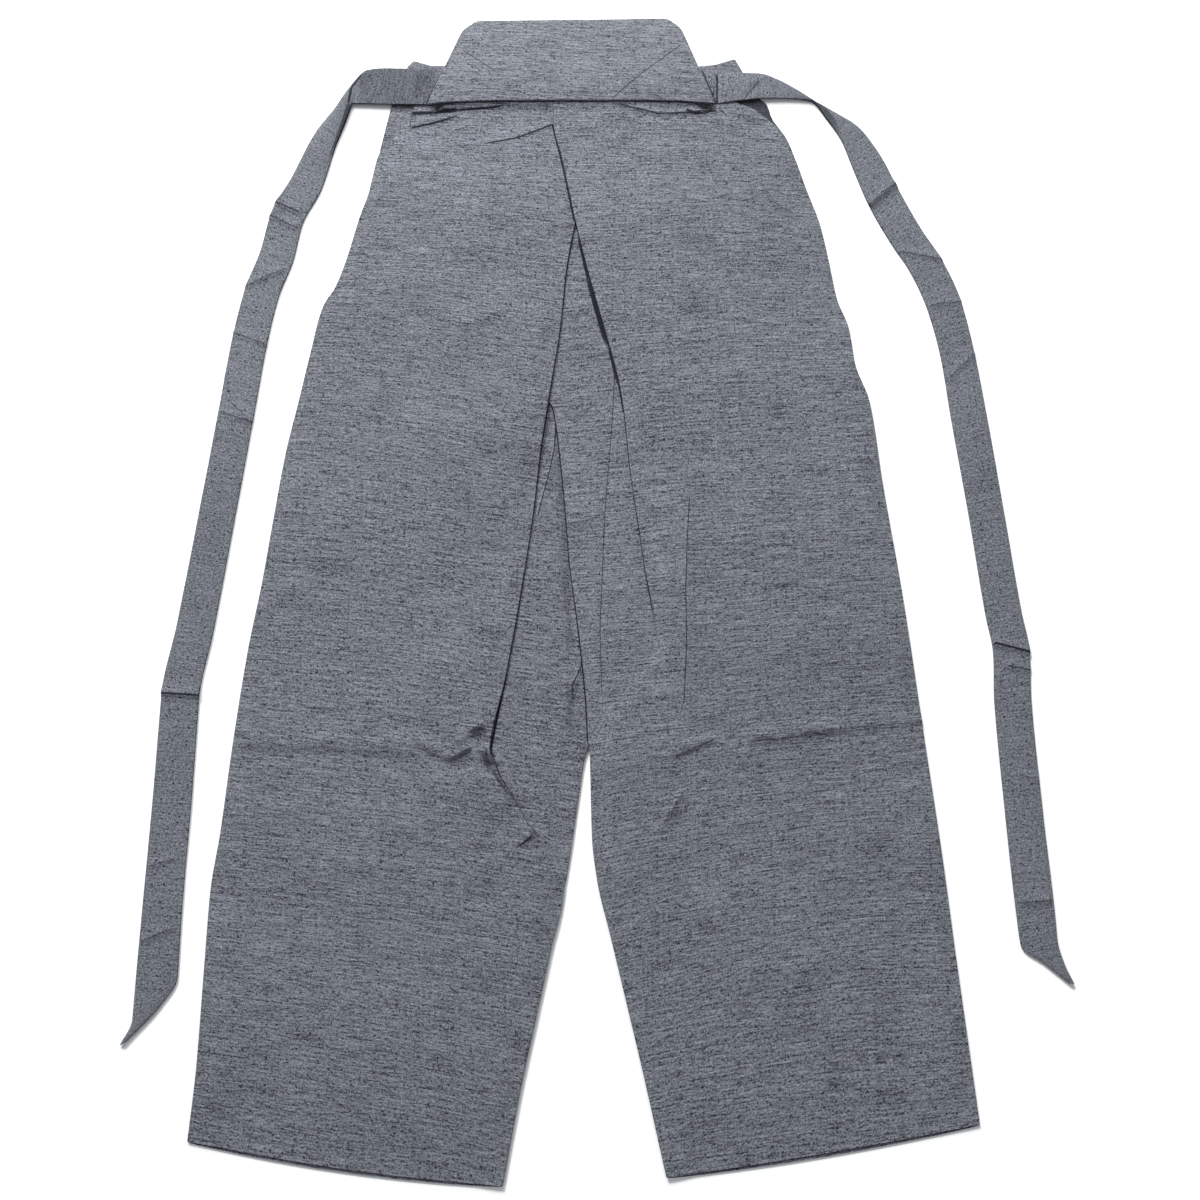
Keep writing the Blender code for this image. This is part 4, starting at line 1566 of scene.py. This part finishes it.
TIE_RIGHT = (
    Section(86, 431.6, 34, -90, 3.1, 1.6),
    Section(107, 432, 34, -90, 3.1, 1.8),
    Section(130, 432.3, 28.5, -90, 3.1, 2.0),
    Section(148, 433, 26, -84, 2.8, 2.2),
    Section(166, 430.3, 20.5, -75, 2.2, 2.4),
    Section(184, 424.5, 11, -65, 1.4, 3.0),
    Section(194, 419.8, 3.5, -80, 0.4, 3.4),
    Section(211, 404, 10, -133, 0.1, 3.4),
    Section(228, 385, 21, -136, 0.1, 3.2),
    Section(238, 365, 28, -138, 0.1, 2.6),
    Section(246, 346, 31, -143, 0.1, 2.4),
    Section(255, 322, 32, -145, 0.1, 2.4),
    Section(274, 281, 31, -148, 0.1, 2.4),
    Section(289, 254, 31, -160, 0.1, 2.4),
    Section(303, 216, 31, -166, 0.1, 2.4),
    Section(312, 168, 30, -167, 0.1, 2.2),
    Section(318, 110, 31, -169, 0.1, 2.2),
    Section(327, 20, 30, -171, 0.1, 2.2),
    Section(335, -66, 30, -174, 0.1, 2.2),
    Section(339, -98, 30, -176, 0.1, 2.4),
    Section(337, -141, 30, -177, 0.1, 2.2),
    Section(339, -230, 30, -175, 0.1, 2.2),
    Section(342, -310, 30, -174, 0.1, 2.2),
    Section(343, -330, 29, -168, 0.1, 2.2),
    Section(354, -347, 16, -186, 0.1, 2.6),
    Section(366, -361, 4, -190, 0.1, 2.8),
)

TIE_LEFT_CREASES = (
    Crease(((-296, 316), (-269, 303)), 2.0, 5, 2.0, 1, 1, 0.85, 1.3),
    Crease(((-297, 301), (-271, 288)), 1.6, 5, 2.0, 1, 1, 0.6, 1.2),
    Crease(((-291, 322), (-283, 306), (-296, 301)), 0.5, 3, 3, 1, 1, 0.35, 2.4),
    Crease(((-316, 230), (-279, 248)), 1.4, 5, 2.0, 1, 2, 0.5, 1.0),
    Crease(((-322, 187), (-292, 175)), 1.3, 5, 2.0, 1, 2, 0.6, 1.0),
    Crease(((-326, 150), (-318, 120), (-300, 104)), 1.0, 4, 2.4, 2, 2, 0.4, 0.9),
    Crease(((-328, 113), (-300, 103)), 1.3, 5, 2.0, 1, 2, 0.6, 1.0),
    Crease(((-359, -133), (-327, -135)), 2.4, 6, 1.8, 1, 1, 0.95, 1.5),
    Crease(((-357, -272), (-335, -265)), 1.2, 4, 2.0, 1, 4, 0.45, 1.0),
    Crease(((-358, -329), (-333, -319)), 1.3, 4, 2.0, 1, 2, 0.5, 1.0),
    Crease(((-213, 442), (-204, 431), (-197, 419)), -1.0, 6, 6, 3, 3, 0.34, 4.5),
    Crease(((-188.5, 452), (-188.5, 412)), -0.3, 2, 2, 1, 1, 0.6, 0.7),
    Crease(((-166, 449), (-163, 436), (-167, 425), (-169, 415)), -0.8, 3, 3, 3, 3, 0.6, 1.7),
    Crease(((-158, 440), (-163, 428), (-161, 418)), -0.8, 3, 3, 3, 3, 0.45, 2.0),
    # No lift: only painted shade that darkens the tie's run along the board
    Crease(((-222, 432), (-150, 431)), 0.0, 9, 9, 1, 1, 0.40, 60),
    Crease(((-173, 449), (-168, 444), (-158, 450)), 0.8, 4, 3, 3, 3, 0.3, 1.6),
)
TIE_LEFT_LINES = (
    Line(((-157.8, 444), (-163, 436.3), (-164.8, 425.7), (-164, 416.5)), 3.6, 0.6, 3, 6),
    Line(((-169.7, 447), (-167.4, 440), (-169.4, 426), (-169, 416.5)), 2.0, 0.55, 3, 3),
    Line(((-206, 438), (-197, 428), (-189, 419)), 5.0, 0.30, 6, 6),
    Line(((-217.5, 449), (-222, 441), (-228.5, 430), (-230.5, 413)), 2.6, 0.95, 8, 1),
    Line(((-230, 413), (-233.5, 397), (-240.5, 374), (-250, 346)), 4.4, 0.72, 1, 34),
    Line(((-159.2, 414), (-141, 458)), 1.7, 0.85, 1, 1),
)

TIE_RIGHT_CREASES = (
    Crease(((241, 309), (256, 322), (270, 335)), 2.2, 4, 4, 1, 1, 0.7, 2.4),
    Crease(((267, 265), (306, 257)), 1.4, 5, 2.0, 1, 1, 0.55, 1.0),
    Crease(((291, 213), (322, 217)), 1.4, 5, 2.0, 1, 1, 0.5, 1.0),
    Crease(((301, 142), (328, 168)), 1.2, 4, 2.0, 2, 2, 0.4, 1.0),
    Crease(((324, -91), (355, -99)), 2.4, 5, 1.8, 1, 1, 0.95, 1.5),
    Crease(((334, -110), (354, -114)), 1.3, 4, 1.8, 1, 1, 0.7, 1.1),
    Crease(((336, -199), (353, -204)), 1.2, 4, 2.0, 2, 2, 0.4, 1.0),
    Crease(((327, -300), (356, -298)), 1.2, 4, 2.0, 1, 1, 0.5, 1.0),
    Crease(((107.5, 414), (108, 446)), -1.2, 2.4, 2.4, 1, 4, 0.9, 1.9),
    Crease(((114, 420), (120, 432), (118, 444)), 0.9, 4, 3, 3, 3, 0.25, 1.6),
    Crease(((132, 418), (137, 426), (147, 437)), -0.8, 3, 3, 2, 6, 0.6, 1.6),
    Crease(((138, 432), (150, 440), (160, 441)), 0.7, 4, 3, 3, 6, 0.25, 1.4),
)
TIE_RIGHT_LINES = (
    Line(((194, 421), (203, 410), (213, 396), (222, 378)), 7.5, 0.62, 4, 30),
    Line(((107, 412), (91.5, 456)), 1.7, 0.85, 1, 1),
)

# Seams with stitches, where those show, and one point of a seam to the next, in millimetres
HEM_SEAM_LEFT = ((-299, -440.5), (-262, -446), (-227, -451))
HEM_SEAM_RIGHT = ((40, -461.5), (118, -451), (188, -441), (246, -433))
GUSSET_SEAM = ((13, 147), (11, 111), (8, 69), (5, 34), (3, -2), (2, -32), (0, -77), (1, -115), (2, -149))
SEAM_STEP = 2.0


class Ease(Enum):
    """How much stitch spacing varies."""

    HAND = 0.16
    MACHINE = 0.03


class StitchTree:
    """The node tree that sets a row of stitches along a seam."""

    settings = (
        ("Pitch", "NodeSocketFloat"), ("Length", "NodeSocketFloat"), ("Thickness", "NodeSocketFloat"),
        ("Ease", "NodeSocketFloat"), ("Seed", "NodeSocketInt"), ("Thread", "NodeSocketMaterial"),
    )

    def __init__(self) -> None:
        """Build the tree."""
        self.tree = bpy.data.node_groups.new("stitch_row", "GeometryNodeTree")
        face = self.tree.interface
        face.new_socket("Seam", in_out="INPUT", socket_type="NodeSocketGeometry")
        self.sockets = {
            name: face.new_socket(name, in_out="INPUT", socket_type=kind).identifier
            for name, kind in self.settings
        }
        face.new_socket("Stitches", in_out="OUTPUT", socket_type="NodeSocketGeometry")
        given = self.tree.nodes.new("NodeGroupInput").outputs
        line = self._node("GeometryNodeMeshToCurve", {}, {0: given["Seam"]})
        spacing = {"Curve": line.outputs[0], "Length": given["Pitch"]}
        points = self._node("GeometryNodeCurveToPoints", {"mode": "LENGTH"}, spacing)
        along = self._random(given["Seed"], -0.5, 0.5)
        drawn = self._random(self._maths("ADD", given["Seed"], 7), -1.0, 1.0)
        stray = self._maths("MULTIPLY", self._maths("MULTIPLY", along, given["Ease"]), given["Pitch"])
        offset = self._node("ShaderNodeVectorMath", {"operation": "SCALE"}, {0: points.outputs["Tangent"]})
        self.tree.links.new(stray, offset.inputs["Scale"])
        moved = self._node(
            "GeometryNodeSetPosition", {}, {"Geometry": points.outputs["Points"], "Offset": offset.outputs[0]}
        )
        turn = self._node(
            "FunctionNodeAlignRotationToVector", {"axis": "X"}, {"Vector": points.outputs["Tangent"]}
        )
        uneven = self._maths("MULTIPLY_ADD", drawn, given["Ease"], 1.0)
        length = self._maths("MULTIPLY", given["Length"], uneven)
        flat = self._maths("MULTIPLY", given["Thickness"], 0.7)
        size = self._node("ShaderNodeCombineXYZ", {}, {"X": length, "Y": given["Thickness"], "Z": flat})
        bead = self._node("GeometryNodeMeshUVSphere", {}, {"Segments": 6, "Rings": 4, "Radius": 0.5})
        rows = self._node(
            "GeometryNodeInstanceOnPoints", {},
            {"Points": moved.outputs[0], "Instance": bead.outputs[0], "Rotation": turn.outputs[0],
             "Scale": size.outputs[0]},
        )
        real = self._node("GeometryNodeRealizeInstances", {}, {0: rows.outputs[0]})
        dye = {"Geometry": real.outputs[0], "Material": given["Thread"]}
        dyed = self._node("GeometryNodeSetMaterial", {}, dye)
        self.tree.links.new(dyed.outputs[0], self.tree.nodes.new("NodeGroupOutput").inputs[0])

    def _node(self, kind: str, settings: dict[str, Any], inputs: dict[Any, Any]) -> bpy.types.Node:
        """Add a node.

        Args:
            kind: Blender's name for it.
            settings: Its own settings.
            inputs: What each input takes, a value or another node's output.

        Returns:
            The node.
        """
        node = self.tree.nodes.new(kind)
        for name, value in settings.items():
            setattr(node, name, value)
        for name, value in inputs.items():
            if isinstance(value, bpy.types.NodeSocket):
                self.tree.links.new(value, node.inputs[name])
            else:
                node.inputs[name].default_value = value
        return node

    def _maths(self, operation: str, *values: Any) -> bpy.types.NodeSocket:
        """Work out one sum from values or outputs."""
        return self._node("ShaderNodeMath", {"operation": operation}, dict(enumerate(values))).outputs[0]

    def _random(self, seed: Any, low: float, high: float) -> bpy.types.NodeSocket:
        """Draw a number for each stitch.

        Args:
            seed: Picks the numbers, a value or another node's output.
            low: The lowest.
            high: The highest.

        Returns:
            The output with the numbers.
        """
        node = self._node("FunctionNodeRandomValue", {"data_type": "FLOAT"}, {"Seed": seed})
        for socket, value in zip([s for s in node.inputs if s.type == "VALUE" and s.enabled], (low, high)):
            socket.default_value = value
        return next(s for s in node.outputs if s.type == "VALUE" and s.enabled)


@dataclass(frozen=True)
class StitchLine:
    """A row of small stitches that follows a seam. Its path is in millimetres."""

    name: str
    path: tuple[tuple[float, float], ...]
    pitch: float
    length: float
    thickness: float
    ease: Ease
    seed: int

    def build(self, on: bpy.types.Object, tree: StitchTree, thread: bpy.types.Material) -> bpy.types.Object:
        """Sew the row onto a piece.

        Args:
            on: The piece that it's sewn to.
            tree: The node tree that sets the stitches.
            thread: The thread's material.

        Returns:
            One mesh of all its stitches.
        """
        mesh = on.data
        surface = BVHTree.FromPolygons([v.co for v in mesh.vertices], [p.vertices for p in mesh.polygons])
        places = []
        for (x0, y0), (x1, y1) in zip(self.path, self.path[1:]):
            steps = max(2, int(math.hypot(x1 - x0, y1 - y0) / SEAM_STEP))
            for share in np.arange(steps) / steps:
                places.append((x0 + (x1 - x0) * share, y0 + (y1 - y0) * share))
        places.append(self.path[-1])
        down = Vector((0.0, 0.0, -1.0))
        found = [surface.ray_cast(Vector((x * MM, y * MM, 0.1)), down)[0] for x, y in places]
        seam = bpy.data.meshes.new(self.name + "_seam")
        points = [(p.x, p.y, p.z + 0.05 * MM) for p in found if p is not None]
        seam.from_pydata(points, [(i, i + 1) for i in range(len(points) - 1)], [])
        guide = bpy.data.objects.new(self.name + "_seam", seam)
        bpy.context.scene.collection.objects.link(guide)
        rows = guide.modifiers.new("stitches", "NODES")
        rows.node_group = tree.tree
        given = (self.pitch * MM, self.length * MM, self.thickness * MM, self.ease.value, self.seed, thread)
        for (name, _), value in zip(tree.settings, given):
            rows[tree.sockets[name]] = value
        graph = bpy.context.evaluated_depsgraph_get()
        sewn = bpy.data.meshes.new_from_object(
            guide.evaluated_get(graph), preserve_all_data_layers=True, depsgraph=graph
        )
        guide.modifiers.remove(rows)
        bpy.data.objects.remove(guide)
        bpy.data.meshes.remove(seam)
        sewn.name = self.name
        sewn.shade_smooth()
        obj = bpy.data.objects.new(self.name, sewn)
        bpy.context.scene.collection.objects.link(obj)
        return obj


def hem_stitches(name: str, path: tuple[tuple[float, float], ...], seed: int) -> StitchLine:
    """The small blind stitches that catch a hem."""
    return StitchLine(name, path, 7.0, 1.5, 0.38, Ease.HAND, seed)


class Studio:
    """Table, light and camera."""

    camera_place = (0.0, -0.316, 1.0508)
    camera_aim = (0.0, -0.054, 0.0)
    lens = 39.0

    def build(self) -> None:
        """Set up the whole studio."""
        self._camera()
        self._table()
        self._light()

    def _camera(self) -> None:
        """Put the camera over the table, tilted toward the waist."""
        data = bpy.data.cameras.new("camera")
        data.lens = self.lens
        data.sensor_width = 36.0
        data.clip_start, data.clip_end = 0.01, 50.0
        camera = bpy.data.objects.new("camera", data)
        bpy.context.scene.collection.objects.link(camera)
        camera.location = self.camera_place
        aim = Vector(self.camera_aim) - Vector(self.camera_place)
        camera.rotation_euler = aim.to_track_quat("-Z", "Y").to_euler()
        bpy.context.scene.camera = camera

    def _table(self) -> None:
        """Lay down the pale table."""
        mesh = bpy.data.meshes.new("table")
        half = 9.0
        corners = [(-half, -half), (half, -half), (half, half), (-half, half)]
        mesh.from_pydata([(x, y, -0.0004) for x, y in corners], [], [(0, 1, 2, 3)])
        table = bpy.data.objects.new("table", mesh)
        mesh.materials.append(TableTop("pale_table").make())
        bpy.context.scene.collection.objects.link(table)

    def _light(self) -> None:
        """Hang one broad light beyond the waist and fill the room softly."""
        world = bpy.data.worlds.new("room")
        world.use_nodes = True
        back = world.node_tree.nodes["Background"]
        back.inputs["Color"].default_value = (0.92, 0.96, 1.0, 1.0)
        back.inputs["Strength"].default_value = 0.43
        bpy.context.scene.world = world
        self._area("key", (-0.30, 1.05, 0.95), (0.0, 0.10, 0.0), 1.0, 0.7, 19.0)
        sun = bpy.data.lights.new("window", "SUN")
        sun.energy, sun.angle = 2.3, math.radians(12.0)
        light = bpy.data.objects.new("window", sun)
        light.rotation_euler = Vector((0.35, -0.80, -0.62)).to_track_quat("-Z", "Y").to_euler()
        bpy.context.scene.collection.objects.link(light)
        bpy.context.scene.view_settings.view_transform = "Standard"
        bpy.context.scene.view_settings.look = "None"

    def _area(
        self,
        name: str,
        place: tuple[float, float, float],
        aim: tuple[float, float, float],
        width: float,
        height: float,
        power: float,
    ) -> None:
        """Hang a soft light.

        Args:
            name: What it's called.
            place: Where it hangs.
            aim: What it points at.
            width: How wide it is.
            height: How tall it is.
            power: Watts.
        """
        data = bpy.data.lights.new(name, "AREA")
        data.shape = "RECTANGLE"
        data.size, data.size_y, data.energy = width, height, power
        light = bpy.data.objects.new(name, data)
        light.location = place
        light.rotation_euler = (Vector(aim) - Vector(place)).to_track_quat("-Z", "Y").to_euler()
        bpy.context.scene.collection.objects.link(light)


@dataclass
class Trousers:
    """The whole garment: every sewn piece, dressed."""

    finishes: Finishes
    stitch_tree: StitchTree = field(default_factory=StitchTree)
    made: list[bpy.types.Object] = field(default_factory=list)

    def _sew(self, on: bpy.types.Object, line: StitchLine) -> bpy.types.Object:
        """Sew one row of stitches onto a piece.

        Args:
            on: The piece.
            line: The row.

        Returns:
            The row's mesh.
        """
        row = line.build(on, self.stitch_tree, self.finishes.thread)
        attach(row, "root")
        log.info("%s: %d triangles", row.name, sum(len(p.vertices) - 2 for p in row.data.polygons))
        return row

    def _sheet(
        self,
        obj: bpy.types.Object,
        node: str,
        material: bpy.types.Material,
        flat: tuple[float, float],
        stitches: Sequence[StitchLine] = (),
    ) -> None:
        """Args:
            obj: The finished sheet.
            node: The CAD node that it stands for.
            material: What it's made of.
            flat: The width and length that it was cut to; not used.
            stitches: The rows of stitches that are sewn to it.
        """
        dress(obj, material, node)
        rows = [self._sew(obj, line) for line in stitches]
        self.made.append(obj)

    def build_ties(self) -> None:
        """Build the two back ties, which run out from the board."""
        left = Tie("back_tie_left", TIE_LEFT, TIE_LEFT_CREASES, TIE_LEFT_LINES, (8.0, 1.0), 41)
        right = Tie("back_tie_right", TIE_RIGHT, TIE_RIGHT_CREASES, TIE_RIGHT_LINES, (9.0, 3.0), 43)
        for tie in (left, right):
            self._sheet(
                tie.build(), tie.node, self.finishes.tie, (0.062, round(tie.length(), 3)),
            )

    def build_board(self) -> None:
        """Build the back board."""
        obj = dress(BackBoard().build(), self.finishes.board, "back_board")
        places = tuple((float(x), float(board_low(x * MM)) + 1.6) for x in np.linspace(-150.0, 97.0, 20))
        self._sew(obj, StitchLine("stitches_board", places, 3.4, 2.2, 0.3, Ease.HAND, 64))
        self.made.append(obj)

    def build_back(self) -> None:
        """Build the two back panels."""
        left = BackPanel(
            node="back_panel_left",
            leg=LEFT_LEG,
            vent=Profile(VENT_LEFT),
            level=Profile(LEVEL_LEFT),
            lip=Profile(((428, 0), (320, 0), (290, 0.3), (60, 0.4), (-60, 0.5), (-125, 1.0), (-176, 1.4),
                         (-205, 0.9), (-235, 0.3), (-262, 0), (-520, 0))),
            fold=Profile(((428, 0.5), (-200, 0.6), (-230, 0.4), (-262, 0.1), (-290, 0.08), (-320, 0.6),
                          (-520, 0.6))),
            gap=Profile(((428, 0.9), (-190, 0.9), (-225, 0.5), (-250, 0), (-285, 0), (-300, 0.5),
                         (-520, 0.5))),
            creases=LEFT_CREASES,
            lines=LEFT_LINES,
            seed=11,
        )
        right = BackPanel(
            node="back_panel_right",
            leg=RIGHT_LEG,
            vent=Profile(VENT_RIGHT),
            level=Profile(LEVEL_RIGHT),
            lip=Profile(((428, 0), (330, 0.2), (270, 0.8), (230, 2.2), (190, 2.2), (150, 0.9), (60, 0.4),
                         (-40, 0.3), (-86, 0), (-520, 0))),
            fold=Profile(((428, 0.5), (-40, 0.5), (-70, 0.3), (-90, 0.08), (-176, 0.08), (-200, 0.4),
                          (-520, 0.6))),
            gap=Profile(((428, 0.9), (-40, 0.9), (-80, 0.4), (-90, 0), (-176, 0), (-200, 0.5), (-520, 0.5))),
            creases=RIGHT_CREASES,
            lines=RIGHT_LINES,
            seed=23,
        )
        self._sheet(
            left.build(), left.node, self.finishes.cloth, (0.30, 0.935),
            (hem_stitches("stitches_hem_left", HEM_SEAM_LEFT, 61),),
        )
        self._sheet(
            right.build(), right.node, self.finishes.cloth, (0.32, 0.93),
            (hem_stitches("stitches_hem_right", HEM_SEAM_RIGHT, 62),),
        )

    def build_gussets(self) -> None:
        """Build the two gussets inside the back vent."""
        vent_left, vent_right, edge = Profile(VENT_LEFT), Profile(VENT_RIGHT), Profile(GUSSET_EDGE)
        tuck_left = Profile(((428, 12), (-238, 12), (-262, 6), (-520, 6)))
        tuck_crotch = Profile(((428, 15), (-120, 15), (-172, -0.3), (-520, -0.3)))
        inner = LEFT_LEG.inner

        def left_inner(y: Array) -> Array:
            """The left gusset's inner edge."""
            return np.where(y > CROTCH, edge(y) + tuck_crotch(y), inner(y))

        left = Gusset(
            node="gusset_left",
            leg=LEFT_LEG,
            zones=(Zone(128, -130, 3.4), Zone(-130, -284, 2.6)),
            left=lambda y: vent_left(y) - tuck_left(y),
            right=left_inner,
            level=lambda y: np.full_like(y, FRONT_TOP),
            turned_left=False,
            turned_right=True,
            creases=GUSSET_LEFT_CREASES,
            lines=GUSSET_LEFT_LINES,
            seed=31,
        )
        right = Gusset(
            node="gusset_right",
            leg=RIGHT_LEG,
            zones=(Zone(304, -276, 3.2),),
            left=edge,
            right=lambda y: np.maximum(vent_right(y) + 8 * MM, edge(y) + 3 * MM),
            level=lambda y: FRONT_TOP + LAYER * smooth((y / MM + 215) / 33),
            turned_left=True,
            turned_right=False,
            creases=GUSSET_RIGHT_CREASES,
            lines=GUSSET_RIGHT_LINES,
            seed=37,
        )
        self._sheet(
            left.build(), left.node, self.finishes.cloth, (0.075, 0.42),
        )
        self._sheet(
            right.build(), right.node, self.finishes.cloth, (0.09, 0.60),
            (StitchLine("stitches_gusset", GUSSET_SEAM, 3.0, 2.0, 0.3, Ease.MACHINE, 63),),
        )

    def build_front(self) -> None:
        """Build the front panels, the waistband and the folded front ties."""
        left = FrontPanel("front_panel_left", LEFT_LEG, 1.0, 0.0, 3)
        right = FrontPanel("front_panel_right", RIGHT_LEG, -1.0, 0.8, 4)
        for panel in (left, right):
            self._sheet(
                panel.build(), panel.node, self.finishes.cloth, (0.30, 0.935)
            )
        self._sheet(
            Waistband().build(), "front_waistband", self.finishes.tie, (0.055, 0.33)
        )
        for tie in (FoldedTie("front_tie_left", -0.140, -0.032), FoldedTie("front_tie_right", -0.020, 0.084)):
            length = tie.layers * (tie.stop - tie.start)
            self._sheet(
                tie.build(), tie.node, self.finishes.tie, (0.024, round(length, 3)),
            )


def main() -> None:
    """Build the studio, then every piece in order, and report each."""
    logging.basicConfig(level=logging.INFO, format="%(name)s: %(message)s")
    Studio().build()
    log.info("studio ready")
    trousers = Trousers(Finishes.made())
    trousers.build_ties()
    trousers.build_board()
    trousers.build_back()
    trousers.build_gussets()
    trousers.build_front()
    log.info("%d pieces made", len(trousers.made))


if __name__ == "__main__":
    main()
